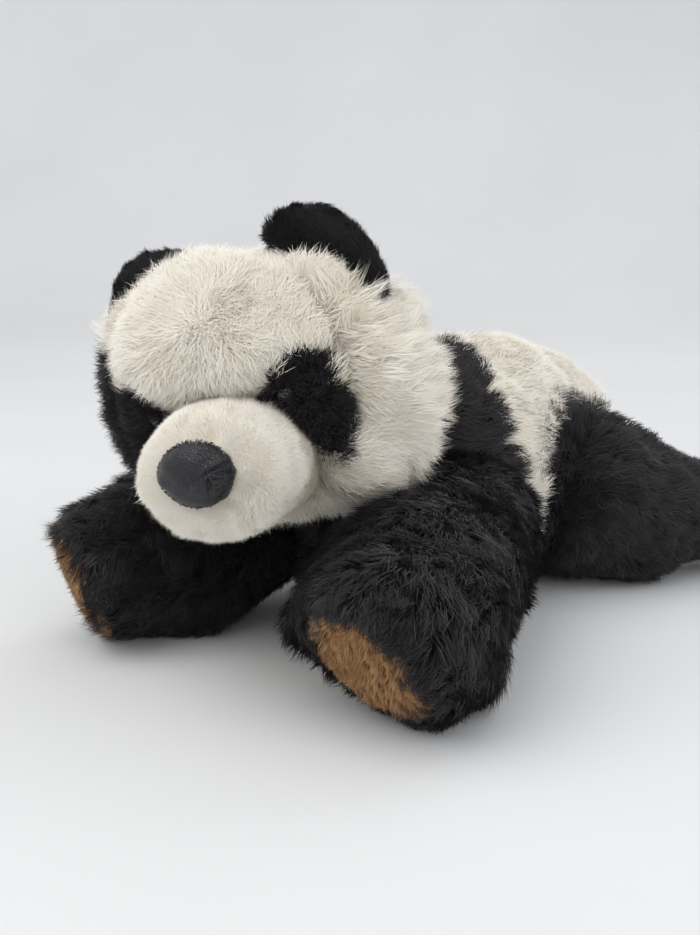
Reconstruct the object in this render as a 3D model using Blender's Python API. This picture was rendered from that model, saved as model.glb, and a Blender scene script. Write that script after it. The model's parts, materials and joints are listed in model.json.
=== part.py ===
"""Plush panda lying on its belly: sewn covers, stuffing, ears, nose, safety eyes and paw pads.

Metres, +Z up. The origin is the middle of the flat belly, the panda faces -Y and its left side is +X.
"""

import math

import bmesh
import bpy
from mathutils import Matrix, Vector

# ---- fabric and clearances ----
PLUSH = 0.0050  # long-pile fabric with its pile lying flat
SHORT_PLUSH = 0.0030  # short-pile fabric of the muzzle and paw pads
SEAM = 0.0004  # gap kept along a sewn seam
SLACK = 0.0016  # gap between a cover and its stuffing
SOCKET_GAP = 0.0024  # clearance round a ball-shaped limb root
SWING_GAP = 0.0015  # clearance round a leg anywhere in its swing
BALL_SEGMENTS = 18
BALL_RINGS = 11
THIN = 0.0002  # least half width of a tapering section

# ---- trunk ----
TRUNK_MIDDLE_Y = 0.014
TRUNK_HALF_LENGTH = 0.104
TRUNK_HALF_WIDTH = 0.058
TRUNK_HEIGHT = 0.120
TRUNK_FULLNESS = 2.6  # exponent of the outline along the trunk
TRUNK_CENTRE_SHARE = 0.45  # height of the widest line as a share of the height
TRUNK_END_LIFT = 0.62  # height of the chest and rump tips as a share of the widest line's height
BELLY_FLATNESS = 1.06  # how far the round underside would reach below the floor
YOKE_END = -0.30  # where the black yoke stops, as a share of the half length from the middle
RUMP_START = 0.68
TRUNK_CAP = 0.985  # share at which a cover's last ring closes to the tip
STUFFING_CAP = 0.97
TRUNK_SIDES = 24
BELLY_HALF_ANGLE = 62  # half the belly panel's sweep round the trunk, in degrees

# ---- head, in its own frame ----
HEAD_CENTRE = Vector((0.0, -0.130, 0.119))
HEAD_YAW = 14
HEAD_ROLL = -13
HEAD_RADII = Vector((0.067, 0.057, 0.054))
HEAD_FULLNESS = 2.3
HEAD_SIDES = 22
FACE_TILT = math.radians(29)  # how far the muzzle's base lies below the head's middle
MUZZLE_EDGE = 28  # half angle of the opening that the muzzle fills
PATCH_EDGE = 56  # outer edge of the eye patches, in degrees from the muzzle's axis
BACK_EDGE = 100  # where the back of the head starts, in degrees from the muzzle's axis
BROW_SIDE = 52  # seam between the forehead and an eye patch, in degrees above the left side
PATCH_FOOT = -8  # seam between an eye patch and a jowl
CHIN_SIDE = -50  # seam between a jowl and the chin
MUZZLE_HALF_WIDTH = 0.0268
MUZZLE_HALF_HEIGHT = 0.0225
MUZZLE_DROP = 0.0280
MUZZLE_FRONT = -0.078
MUZZLE_PROFILE = ((0.0, 1.0), (0.33, 1.01), (0.66, 1.0), (0.86, 0.95), (0.96, 0.87), (1.0, 0.74))
NOSE_RADII = Vector((0.0155, 0.0090, 0.0125))
NOSE_DROP = 0.0240
NOSE_SIDES = 20
NOSE_LEANS = (0, 22, 44, 66, 80)  # the nose's rings, from its rim to its front, in degrees
NOSE_NARROWING = 0.12  # how much narrower the nose is towards its foot
LEATHERETTE = 0.0012
NOSE_SLACK = 0.0006
NECK_POINT = Vector((0.0, -0.083, 0.090))
NECK_RADIUS = 0.017

# ---- eyes ----
EYE_RADIUS = 0.0050
EYE_HEIGHT = 0.0035
EYE_STAND = 0.0004  # gap under the eye's flat back
SHANK_RADIUS = 0.0016
SHANK_LENGTH = 0.0115
SHANK_GAP = 0.0004
WASHER_RADIUS = 0.0048
WASHER_DEPTH = 0.0068
WASHER_THICKNESS = 0.0010
POCKET_RADIUS = 0.0062
EYE_PHI = 36
EYE_THETA = 37

# ---- ears ----
EAR_HALF_WIDTH = 0.0250
EAR_HEIGHT = 0.0145
EAR_HALF_THICKNESS = 0.0045
EAR_DIRECTION = Vector((0.59, -0.29, 0.72))
EAR_LIFT = 0.0052  # how far the ear's root line stands off the head
EAR_SPLAY = 33  # outward lean, in degrees
EAR_WRAP_IN = 10.0  # droop of the root line towards the crown, in metres per square metre
EAR_WRAP_OUT = 4.0  # droop of the root line towards the cheek

# ---- forelegs: root, paw centre, sole direction ----
LEG_SIDES = 16
FORELEG_ROOT_RADIUS = 0.0285
FORELEG_RADII = ((0.0, 0.0280), (0.35, 0.0270), (0.72, 0.0315), (0.92, 0.0320), (1.0, 0.0285))
FORELEGS = {
    "left": (Vector((0.052, -0.064, 0.051)), Vector((0.082, -0.180, 0.0300)), -9.5, -34),
    "right": (Vector((-0.052, -0.064, 0.049)), Vector((-0.0765, -0.170, 0.0310)), -24, -20),
}
WRIST_REACH = 0.035
FORE_PAD_RADIUS = 0.0245

# ---- hind legs ----
HIND_ROOT_RADIUS = 0.0400
HIND_RADII = ((0.0, 0.0395), (0.2, 0.0365), (0.5, 0.0238), (0.75, 0.0205), (0.93, 0.0218), (1.0, 0.0205))
HIP = Vector((0.052, 0.049, 0.0430))
HIND_FOOT = Vector((0.130, 0.143, 0.0235))
HIND_REACH = 0.045
HIND_PAD_RADIUS = 0.0180
PAD_THICKNESS = 0.0030
PAD_ROUNDING = 0.94  # width of a pad's outer rim as a share of its seam
SHOULDER_SWING = (-3, 30)  # inward and outward, in degrees, about an upright line
HIP_SWING = (-20, 14)  # outward and inward
SWING_STEPS = 3
STUFFED_SHARE = 0.83  # how far the stuffing keeps the leg's full width
STUFFED_TIP_SHARE = 0.89

# ---- tail ----
TAIL_SHARE = 0.93  # how far back along the trunk the tail sits
TAIL_GAP = 0.0008
TAIL_RADII = Vector((0.0130, 0.0190, 0.0100))
TAIL_ROOT_RADIUS = 0.0100
TAIL_PROFILE = ((-0.85, 0.5, 0.5), (-0.5, 0.86, 0.86), (0, 1, 1), (0.5, 0.95, 0.98), (0.85, 0.62, 0.66))
TAIL_DROOP = 20  # below the direction square to the rump, in degrees

CREAM = (0.68, 0.63, 0.53)
WARM_CREAM = (0.72, 0.68, 0.59)
BLACK = (0.012, 0.011, 0.013)
TAN = (0.28, 0.12, 0.035)
CHARCOAL = (0.045, 0.048, 0.056)
EYE_BLACK = (0.010, 0.008, 0.007)
WADDING = (0.80, 0.80, 0.78)
NYLON = (0.75, 0.75, 0.72)


def clear_scene():
    for old in list(bpy.data.objects):
        bpy.data.objects.remove(old, do_unlink=True)


def material(name, colour, roughness):
    made = bpy.data.materials.new(name)
    made.use_nodes = True
    shader = made.node_tree.nodes["Principled BSDF"]
    shader.inputs["Base Color"].default_value = (*colour, 1.0)
    shader.inputs["Roughness"].default_value = roughness
    shader.inputs["Metallic"].default_value = 0.0
    return made


def empty(name, matrix, parent=None):
    made = bpy.data.objects.new(name, None)
    bpy.context.scene.collection.objects.link(made)
    made.parent = parent
    made.matrix_basis = matrix
    return made


def place(name, mesh, finish, parent=None, matrix=None):
    """Links a mesh as an object. Its matrix is relative to its parent."""
    made = bpy.data.objects.new(name, mesh)
    if finish is not None:
        mesh.materials.append(finish)
    mesh.shade_smooth()
    bpy.context.scene.collection.objects.link(made)
    made.parent = parent
    made.matrix_basis = matrix or Matrix.Identity(4)
    return made


def surface(name, rows, wrap, start=None, end=None):
    """A mesh through rows of points. wrap closes each row, start and end are tip points or None."""
    work = bmesh.new()
    grid = [[work.verts.new(p) for p in row] for row in rows]
    count = len(rows[0])
    for one, two in zip(grid, grid[1:]):
        for i in range(count if wrap else count - 1):
            j = (i + 1) % count
            work.faces.new((one[i], one[j], two[j], two[i]))
    for tip, row, flip in ((start, grid[0], True), (end, grid[-1], False)):
        if tip is None:
            continue
        middle = work.verts.new(tip)
        for i in range(count):
            pair = (row[i], row[(i + 1) % count])
            work.faces.new((*reversed(pair), middle) if flip else (*pair, middle))
    mesh = bpy.data.meshes.new(name)
    work.to_mesh(mesh)
    work.free()
    return mesh


def slab(name, outer, inner, wrap, outer_tip=None, inner_tip=None):
    """A closed wall between two grids of points. A tip pair closes the last rows as a dome."""
    work = bmesh.new()
    skins = [[[work.verts.new(p) for p in row] for row in rows] for rows in (outer, inner)]
    count = len(outer[0])
    across = range(count if wrap else count - 1)
    for grid in skins:
        for one, two in zip(grid, grid[1:]):
            for i in across:
                j = (i + 1) % count
                work.faces.new((one[i], one[j], two[j], two[i]))
    rims = [(skins[0][0], skins[1][0])]
    if outer_tip is None:
        rims.append((skins[0][-1], skins[1][-1]))
    else:
        for grid, tip in zip(skins, (outer_tip, inner_tip)):
            middle = work.verts.new(tip)
            for i in across:
                work.faces.new((grid[-1][i], grid[-1][(i + 1) % count], middle))
    for one, two in rims:
        for i in across:
            j = (i + 1) % count
            work.faces.new((one[i], one[j], two[j], two[i]))
    if not wrap:
        for column in (0, -1):
            edges = [[row[column] for row in grid] for grid in skins]
            for i in range(len(outer) - 1):
                work.faces.new((edges[0][i], edges[0][i + 1], edges[1][i + 1], edges[1][i]))
    bmesh.ops.recalc_face_normals(work, faces=work.faces)
    mesh = bpy.data.meshes.new(name)
    work.to_mesh(mesh)
    work.free()
    return mesh


def face_outward(mesh):
    work = bmesh.new()
    work.from_mesh(mesh)
    bmesh.ops.recalc_face_normals(work, faces=work.faces)
    work.to_mesh(mesh)
    work.free()
    return mesh


def cut(made, *cutters):
    for cutter in cutters:
        hole = made.modifiers.new("cut_" + cutter.name, "BOOLEAN")
        hole.operation = "DIFFERENCE"
        hole.solver = "EXACT"
        hole.object = cutter
    return made


def guide(made):
    made.hide_render = True
    made.display_type = "WIRE"
    return made


def ball_mesh(name, radius):
    work = bmesh.new()
    bmesh.ops.create_uvsphere(work, u_segments=BALL_SEGMENTS, v_segments=BALL_RINGS, radius=radius)
    mesh = bpy.data.meshes.new(name)
    work.to_mesh(mesh)
    work.free()
    return mesh


def ball_cutter(name, centre, radius):
    return guide(place(name, ball_mesh(name, radius), None, matrix=Matrix.Translation(centre)))


def spaced(low, high, count):
    return [low + (high - low) * i / (count - 1) for i in range(count)]


def spread(value, table):
    """Reads a smooth radius from (place, radius) pairs."""
    for (a, ra), (b, rb) in zip(table, table[1:]):
        if value <= b:
            t = (value - a) / (b - a)
            t = t * t * (3 - 2 * t)
            return ra + (rb - ra) * t
    return table[-1][1]


# ---- trunk ----
def trunk_point(share, angle, inset):
    """A point of the trunk's skin: share runs -1 to 1 from chest to rump, angle starts at the left."""
    room = max(1 - abs(share) ** TRUNK_FULLNESS, 0) ** (1 / TRUNK_FULLNESS)
    half_width = max(TRUNK_HALF_WIDTH * room - inset, THIN)
    widest = TRUNK_CENTRE_SHARE * TRUNK_HEIGHT
    middle = widest * (TRUNK_END_LIFT + (1 - TRUNK_END_LIFT) * room)
    full_reach = TRUNK_HEIGHT - widest if math.sin(angle) > 0 else widest * BELLY_FLATNESS
    reach = max(full_reach * room - inset, THIN)
    z = max(middle + reach * math.sin(angle), inset)
    return Vector((half_width * math.cos(angle), TRUNK_MIDDLE_Y + (TRUNK_HALF_LENGTH - inset) * share, z))


def trunk_tip(share, inset):
    height = TRUNK_CENTRE_SHARE * TRUNK_HEIGHT * TRUNK_END_LIFT
    return Vector((0, TRUNK_MIDDLE_Y + (TRUNK_HALF_LENGTH - inset) * share, height))


def trunk_rows(low, high, count, start_angle, end_angle, columns, wrap, inset=0.0):
    a, b = math.asin(low), math.asin(high)
    shares = [math.sin(v) for v in spaced(a, b, count)]
    step = (end_angle - start_angle) / (columns if wrap else columns - 1)
    angles = [math.radians(start_angle + step * i) for i in range(columns)]
    return [[trunk_point(s, v, inset) for v in angles] for s in shares]


def build_trunk(looks, cutters):
    neck, shoulders, hips = cutters["neck"], cutters["shoulders"], cutters["hips"]
    gap = SEAM / TRUNK_HALF_LENGTH
    turn = math.degrees(SEAM / TRUNK_HALF_WIDTH)
    belly_low, belly_high = 270 - BELLY_HALF_ANGLE, 270 + BELLY_HALF_ANGLE
    back_span = (belly_high - 360 + turn, belly_low - turn)
    belly_span = (belly_low + turn, belly_high - turn)

    def wall(low, high, rows, span, columns, wrap):
        return [trunk_rows(low, high, rows, *span, columns, wrap, inset) for inset in (0.0, PLUSH)]

    chest = wall(YOKE_END - gap, -TRUNK_CAP, 7, (0, 360), TRUNK_SIDES, True)
    yoke = slab("shoulder_yoke", *chest, True, trunk_tip(-1, 0), trunk_tip(-1, PLUSH))
    cut(place("shoulder_yoke", yoke, looks["black"]), neck, *shoulders)

    upper = wall(YOKE_END + gap, RUMP_START - gap, 8, back_span, 18, False)
    cut(place("back_panel", slab("back_panel", *upper, False), looks["cream"]), *hips)
    lower = wall(YOKE_END + gap, RUMP_START - gap, 8, belly_span, 11, False)
    cut(place("belly_panel", slab("belly_panel", *lower, False), looks["cream"]), *hips)

    rear = wall(RUMP_START + gap, TRUNK_CAP, 5, (0, 360), TRUNK_SIDES, True)
    rump = slab("rump_panel", *rear, True, trunk_tip(1, 0), trunk_tip(1, PLUSH))
    cut(place("rump_panel", rump, looks["cream"]), *hips)

    inset = PLUSH + SLACK
    inner = trunk_rows(-STUFFING_CAP, STUFFING_CAP, 13, 0, 360, 20, True, inset)
    filling = surface("body_stuffing", inner, True, trunk_tip(-1, inset), trunk_tip(1, inset))
    place("body_stuffing", face_outward(filling), looks["wadding"])
    cut(bpy.data.objects["body_stuffing"], neck, *shoulders, *hips)


# ---- head ----
def head_direction(phi, theta):
    """Unit direction phi degrees from the muzzle's axis, theta degrees round it from the left cheek."""
    forward = Vector((0, -math.cos(FACE_TILT), -math.sin(FACE_TILT)))
    upward = Vector((0, -math.sin(FACE_TILT), math.cos(FACE_TILT)))
    p, t = math.radians(phi), math.radians(theta)
    return forward * math.cos(p) + (Vector((1, 0, 0)) * math.cos(t) + upward * math.sin(t)) * math.sin(p)


def head_point(direction, inset=0.0):
    radii = [r - inset for r in HEAD_RADII]
    total = sum(abs(d / r) ** HEAD_FULLNESS for d, r in zip(direction, radii))
    return direction * total ** (-1 / HEAD_FULLNESS)


def head_panel(name, phis, thetas, counts, finish, parent):
    """A sewn panel of the head between two angles from the muzzle and two angles round it."""
    margin = math.degrees(SEAM / 2 / HEAD_RADII.y)
    skins = []
    for inset in (0.0, PLUSH):
        rows = []
        for phi in spaced(phis[0] + margin, phis[1] - margin, counts[0]):
            aside = margin / max(math.sin(math.radians(phi)), 0.3)
            row = spaced(thetas[0] + aside, thetas[1] - aside, counts[1])
            rows.append([head_point(head_direction(phi, theta), inset) for theta in row])
        skins.append(rows)
    return place(name, slab(name, *skins, False), finish, parent)


def build_head(looks, parent, cutters):
    brow = (BROW_SIDE, 180 - BROW_SIDE)
    chin = (CHIN_SIDE - 2 * (90 + CHIN_SIDE), CHIN_SIDE)
    head_panel("forehead_panel", (MUZZLE_EDGE, BACK_EDGE), brow, (9, 8), looks["cream"], parent)
    low = head_panel("chin_panel", (MUZZLE_EDGE, BACK_EDGE), chin, (8, 8), looks["cream"], parent)
    cut(low, cutters["neck"])
    for side in ("left", "right"):

        def mirrored(low, high):
            return (low, high) if side == "left" else (180 - high, 180 - low)

        patch = mirrored(PATCH_FOOT, BROW_SIDE)
        edges = (MUZZLE_EDGE, PATCH_EDGE)
        made = head_panel(side + "_eye_patch", edges, patch, (5, 7), looks["black"], parent)
        cut(made, cutters[side + "_shank"])
        cheek = mirrored(CHIN_SIDE, BROW_SIDE)
        head_panel(side + "_cheek_panel", (PATCH_EDGE, BACK_EDGE), cheek, (6, 10), looks["cream"], parent)
        jowl = mirrored(CHIN_SIDE, PATCH_FOOT)
        head_panel(side + "_jowl_panel", (MUZZLE_EDGE, PATCH_EDGE), jowl, (5, 6), looks["cream"], parent)

    start = BACK_EDGE + math.degrees(SEAM / 2 / HEAD_RADII.y)
    angles = [i * 360 / HEAD_SIDES for i in range(HEAD_SIDES)]

    def rings(low, high, count, inset):
        steps = spaced(low, high, count)
        return [[head_point(head_direction(phi, v), inset) for v in angles] for phi in steps]

    skins = [rings(start, 172, 6, inset) for inset in (0.0, PLUSH)]
    tips = [head_point(head_direction(180, 0), inset) for inset in (0.0, PLUSH)]
    back = slab("head_back_panel", *skins, True, *tips)
    cut(place("head_back_panel", back, looks["cream"], parent), cutters["neck"])

    inset = PLUSH + SLACK
    tips = [head_point(head_direction(phi, 0), inset) for phi in (0, 180)]
    filling = surface("head_stuffing", rings(12, 168, 11, inset), True, *tips)
    made = place("head_stuffing", face_outward(filling), looks["wadding"], parent)
    cut(made, cutters["neck"], cutters["left_pocket"], cutters["right_pocket"])


def muzzle_rows(inset, edge):
    """Rings from the muzzle's base on the head to the rim of its flat front."""
    rows = []
    for along, width in MUZZLE_PROFILE:
        row = []
        for i in range(HEAD_SIDES):
            angle = 360 / HEAD_SIDES * i
            base = head_point(head_direction(edge, angle))
            t = math.radians(angle)
            front = Vector((MUZZLE_HALF_WIDTH * math.cos(t), MUZZLE_FRONT, -MUZZLE_DROP))
            front.z += MUZZLE_HALF_HEIGHT * math.sin(t)
            front.y += inset
            point = base.lerp(front, along)
            axis = Vector((0, point.y, -MUZZLE_DROP))
            away = point - axis
            shrink = max(1 - inset / away.length, 0.1)
            row.append(axis + away * width * shrink)
        rows.append(row)
    return rows


def build_muzzle(looks, parent):
    edge = MUZZLE_EDGE - math.degrees(SEAM / 2 / HEAD_RADII.y)
    skins = [muzzle_rows(inset, edge) for inset in (0.0, SHORT_PLUSH)]
    tips = [Vector((0, MUZZLE_FRONT + inset, -MUZZLE_DROP)) for inset in (0.0, SHORT_PLUSH)]
    place("muzzle_cover", slab("muzzle_cover", *skins, True, *tips), looks["warm_cream"], parent)
    inset = SHORT_PLUSH + SLACK
    rows = muzzle_rows(inset, edge)
    base = head_point(head_direction(0, 0)) - head_direction(0, 0) * 0.001
    tip = Vector((0, MUZZLE_FRONT + inset, -MUZZLE_DROP))
    stuffing = face_outward(surface("muzzle_stuffing", rows, True, base, tip))
    place("muzzle_stuffing", stuffing, looks["wadding"], parent)


def nose_rows(inset):
    rows = []
    for lean in NOSE_LEANS:
        c, s = math.cos(math.radians(lean)), math.sin(math.radians(lean))
        row = []
        for i in range(NOSE_SIDES):
            t = 2 * math.pi * i / NOSE_SIDES
            narrow = 1 - NOSE_NARROWING * max(-math.sin(t), 0)
            x = (NOSE_RADII.x - inset) * c * math.cos(t) * narrow
            z = (NOSE_RADII.z - inset) * c * math.sin(t)
            row.append(Vector((x, MUZZLE_FRONT - SEAM - (NOSE_RADII.y - inset) * s, z - NOSE_DROP)))
        rows.append(row)
    return rows


def build_nose(looks, parent):
    front = MUZZLE_FRONT - SEAM - NOSE_RADII.y
    tips = [Vector((0, front + inset, -NOSE_DROP)) for inset in (0.0, LEATHERETTE)]
    cover = slab("nose_cover", nose_rows(0.0), nose_rows(LEATHERETTE), True, *tips)
    place("nose_cover", cover, looks["charcoal"], parent)
    inset = LEATHERETTE + NOSE_SLACK
    base = Vector((0, MUZZLE_FRONT - SEAM, -NOSE_DROP))
    tip = Vector((0, MUZZLE_FRONT - SEAM - NOSE_RADII.y + inset, -NOSE_DROP))
    padding = surface("nose_padding", nose_rows(inset), True, base, tip)
    place("nose_padding", face_outward(padding), looks["wadding"], parent)


def eye_matrix(side):
    theta = EYE_THETA if side == "left" else 180 - EYE_THETA
    direction = head_direction(EYE_PHI, theta)
    point = head_point(direction)

    def skin(phi, turn):
        return head_point(head_direction(phi, turn))

    step = 4.0
    across = skin(EYE_PHI, theta + step) - skin(EYE_PHI, theta - step)
    along = skin(EYE_PHI + step, theta) - skin(EYE_PHI - step, theta)
    normal = along.normalized().cross(across.normalized()).normalized()
    normal = normal if normal.dot(direction) > 0 else -normal
    turn = normal.to_track_quat("Z", "Y").to_matrix().to_4x4()
    return Matrix.Translation(point) @ turn


def turned(name, profile, sides=16):
    """A closed solid turned about Z. The profile runs from the top of the axis to its bottom."""
    inner = [(r, z) for r, z in profile if r > 0]
    angles = [2 * math.pi * i / sides for i in range(sides)]
    rows = [[Vector((r * math.cos(a), r * math.sin(a), z)) for a in angles] for r, z in inner]
    tips = [Vector((0, 0, profile[0][1])), Vector((0, 0, profile[-1][1]))]
    return face_outward(surface(name, rows, True, *tips))


def build_eye(side, looks, parent):
    stand = EYE_STAND
    dome = [(0, stand + EYE_HEIGHT)]
    dome += [
        (EYE_RADIUS * math.sin(math.radians(v)), stand + EYE_HEIGHT * math.cos(math.radians(v)))
        for v in (22, 45, 67, 90)
    ]
    dome += [(SHANK_RADIUS, stand), (SHANK_RADIUS, stand - SHANK_LENGTH), (0, stand - SHANK_LENGTH)]
    matrix = eye_matrix(side)
    place(side + "_eye", turned("eye", dome), looks["eye"], parent, matrix)

    ring = bmesh.new()
    hole = SHANK_RADIUS + SHANK_GAP
    angles = [2 * math.pi * i / 16 for i in range(16)]
    section = (
        (WASHER_RADIUS, -WASHER_DEPTH),
        (WASHER_RADIUS, -WASHER_DEPTH - WASHER_THICKNESS),
        (hole, -WASHER_DEPTH - WASHER_THICKNESS),
        (hole, -WASHER_DEPTH),
    )
    loops = [[ring.verts.new((r * math.cos(a), r * math.sin(a), z)) for a in angles] for r, z in section]
    for k in range(4):
        one, two = loops[k], loops[(k + 1) % 4]
        for i in range(16):
            j = (i + 1) % 16
            ring.faces.new((one[i], one[j], two[j], two[i]))
    mesh = bpy.data.meshes.new("eye_washer")
    ring.to_mesh(mesh)
    ring.free()
    place(side + "_eye_washer", face_outward(mesh), looks["nylon"], parent, matrix)


def eye_cutters(side, parent):
    matrix = eye_matrix(side)

    def plug(name, radius, top, bottom):
        return turned(name, [(0, top), (radius, top), (radius, bottom), (0, bottom)])

    shank = plug("shank_hole", SHANK_RADIUS + SHANK_GAP, 0.004, -0.009)
    pocket = plug("eye_pocket", POCKET_RADIUS, 0.002, -SHANK_LENGTH - 0.002)
    return (
        guide(place(side + "_shank_hole", shank, None, parent, matrix)),
        guide(place(side + "_eye_pocket", pocket, None, parent, matrix)),
    )


# ---- ears ----
def ear_matrix(side):
    sign = 1 if side == "left" else -1
    direction = Vector((EAR_DIRECTION.x * sign, EAR_DIRECTION.y, EAR_DIRECTION.z)).normalized()
    lean = Matrix.Rotation(math.radians(EAR_SPLAY * sign), 4, "Y")
    return Matrix.Translation(head_point(direction) + direction * EAR_LIFT) @ lean


def build_ear(side, looks, parent):
    """Front and back panels, each half of a flattened ball that stands on a round root line."""
    for half, sign in (("front", -1), ("back", 1)):
        work = bmesh.new()
        bmesh.ops.create_uvsphere(work, u_segments=18, v_segments=10, radius=1.0)
        for v in work.verts:
            height = EAR_HEIGHT if v.co.z > 0 else EAR_HALF_THICKNESS
            x = v.co.x * EAR_HALF_WIDTH
            wrap = EAR_WRAP_OUT if (x > 0) == (side == "left") else EAR_WRAP_IN
            v.co = Vector((x, v.co.y * EAR_HALF_THICKNESS, v.co.z * height - wrap * x * x))
        everything = work.verts[:] + work.edges[:] + work.faces[:]
        plane = Vector((0, sign * SEAM / 2, 0))
        cut_edges = bmesh.ops.bisect_plane(
            work, geom=everything, plane_co=plane, plane_no=(0, -sign, 0), clear_outer=True
        )["geom_cut"]
        bmesh.ops.contextual_create(work, geom=[g for g in cut_edges if isinstance(g, bmesh.types.BMEdge)])
        bmesh.ops.recalc_face_normals(work, faces=work.faces)
        mesh = bpy.data.meshes.new("ear_" + half)
        work.to_mesh(mesh)
        work.free()
        place(side + "_ear_" + half, mesh, looks["black"], parent)


# ---- legs ----
def sole_direction(azimuth, elevation):
    a, e = math.radians(azimuth), math.radians(elevation)
    return Vector((math.sin(a) * math.cos(e), -math.cos(a) * math.cos(e), math.sin(e)))


def leg_spine(root, reach, end, direction):
    """A point and a forward direction at a share of the leg's way, ending square to the sole."""
    bend = end - direction * reach

    def at(share):
        one, two = root.lerp(bend, share), bend.lerp(end, share)
        return one.lerp(two, share), (two - one).normalized()

    return at


def leg_rows(spine, radii, inset, shares):
    rows = []
    for share in shares:
        centre, forward = spine(share)
        side = forward.cross(Vector((0, 0, 1))).normalized()
        upward = side.cross(forward)
        radius = spread(share, radii) - inset
        row = []
        for i in range(LEG_SIDES):
            t = 2 * math.pi * i / LEG_SIDES
            point = centre + (side * math.cos(t) + upward * math.sin(t)) * radius
            point.z = max(point.z, inset)
            row.append(point)
        rows.append(row)
    return rows


def root_rows(spine, radius, inset, turns):
    """The ball at the body end of a leg: rings behind the joint, so that the leg turns in its socket."""
    centre, forward = spine(0)
    side = forward.cross(Vector((0, 0, 1))).normalized()
    upward = side.cross(forward)
    rows = []
    for turn in turns:
        c, s = math.cos(math.radians(turn)), math.sin(math.radians(turn))
        ring = (radius - inset) * s
        middle = centre - forward * (radius - inset) * c
        row = []
        for i in range(LEG_SIDES):
            t = 2 * math.pi * i / LEG_SIDES
            row.append(middle + (side * math.cos(t) + upward * math.sin(t)) * ring)
        rows.append(row)
    return rows


def swing_guides(name, root, spine, radii, root_radius, swing):
    """Fattened copies of a leg all through its swing, which the trunk is cut back from."""
    inset = -SWING_GAP
    rows = root_rows(spine, root_radius, inset, (22, 52, 80))
    rows += leg_rows(spine, radii, inset, spaced(0.0, 1.0, 7))[1:]
    tips = (spine(0)[0] - spine(0)[1] * (root_radius - inset), spine(1.0)[0])
    made = []
    for i, angle in enumerate(spaced(*swing, SWING_STEPS)):
        mesh = face_outward(surface(name + "_swing", rows, True, *tips))
        turn = Matrix.Rotation(math.radians(angle), 4, "Z")
        home = Matrix.Translation(root) @ turn @ Matrix.Translation(-root)
        made.append(guide(place(name + "_swing_" + str(i), mesh, None, matrix=home)))
    return made


def leg_plans():
    """The four legs: joint point, spine, radii, sole and swing."""
    plans = {}
    for side, sign in (("left", 1), ("right", -1)):
        root, end, azimuth, elevation = FORELEGS[side]
        toes = sole_direction(azimuth, elevation)
        plans[side + "_foreleg"] = {
            "root": root,
            "end": end,
            "toes": toes,
            "spine": leg_spine(root, WRIST_REACH, end, toes),
            "radii": FORELEG_RADII,
            "root_radius": FORELEG_ROOT_RADIUS,
            "pad_radius": FORE_PAD_RADIUS,
            "swing": sorted(v * sign for v in SHOULDER_SWING),
        }
        hip = Vector((HIP.x * sign, HIP.y, HIP.z))
        foot = Vector((HIND_FOOT.x * sign, HIND_FOOT.y, HIND_FOOT.z))
        away = Vector((foot.x - hip.x, foot.y - hip.y, 0)).normalized()
        plans[side + "_hind_leg"] = {
            "root": hip,
            "end": foot,
            "toes": away,
            "spine": leg_spine(hip, HIND_REACH, foot, away),
            "radii": HIND_RADII,
            "root_radius": HIND_ROOT_RADIUS,
            "pad_radius": HIND_PAD_RADIUS,
            "swing": sorted(v * sign for v in HIP_SWING),
        }
    return plans


def build_leg(name, plan, looks):
    """Sleeve, stuffing and sole pad of one leg. The sleeve is open where it is sewn to the body."""
    root, end, direction, spine = plan["root"], plan["end"], plan["toes"], plan["spine"]
    radii, root_radius, pad_radius = plan["radii"], plan["root_radius"], plan["pad_radius"]
    joint = empty(name + "_joint", Matrix.Translation(root))
    home = Matrix.Translation(-root)
    shares = spaced(0.0, 1.0, 8)

    skins = []
    for inset in (0.0, PLUSH):
        rows = root_rows(spine, root_radius, inset, (38, 62, 82))
        rows += leg_rows(spine, radii, inset, shares)[1:]
        rim = leg_rows(spine, ((0.0, 1.0), (1.0, pad_radius + SEAM)), 0.0, (1.0,))[0]
        skins.append(rows + [rim] if inset == 0 else rows[:-1] + [[p - direction * PLUSH for p in rim]])
    sleeve = slab(name + "_cover", skins[0], skins[1], True)
    place(name + "_cover", sleeve, looks["black"], joint, home)

    inset = PLUSH + SLACK
    inner = root_rows(spine, root_radius, inset, (24, 45, 66, 84))
    inner += leg_rows(spine, radii, inset, spaced(0.0, STUFFED_SHARE, 7))[1:]
    tips = (spine(0)[0] - spine(0)[1] * (root_radius - inset), spine(STUFFED_TIP_SHARE)[0])
    filling = surface(name + "_stuffing", inner, True, *tips)
    place(name + "_stuffing", face_outward(filling), looks["wadding"], joint, home)

    low = leg_rows(spine, ((0.0, 1.0), (1.0, pad_radius)), 0.0, (1.0,))[0]
    step = direction * PAD_THICKNESS
    outer = [end + (p - end) * PAD_ROUNDING + step * 0.5 for p in low]
    inner_row = [p - step for p in low]
    for p in outer + inner_row:
        p.z = max(p.z, 0.0)
    pad = surface(name + "_pad", [inner_row, low, outer], True, end - step, end + step * 0.8)
    place(name + "_pad", face_outward(pad), looks["tan"], joint, home)


def tail_matrix():
    """The tail's root on top of the rump, with +Y pointing away from it."""
    def skin(share, angle):
        return trunk_point(share, math.radians(angle), 0.0)

    point = skin(TAIL_SHARE, 90)
    across = skin(TAIL_SHARE, 85) - skin(TAIL_SHARE, 95)
    along = skin(TAIL_SHARE + 0.02, 90) - skin(TAIL_SHARE - 0.02, 90)
    away = across.cross(along).normalized()
    lean = math.atan2(away.z, away.y) - math.radians(TAIL_DROOP)
    pivot = point + away * (TAIL_ROOT_RADIUS + TAIL_GAP)
    return Matrix.Translation(pivot) @ Matrix.Rotation(lean, 4, "X")


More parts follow.
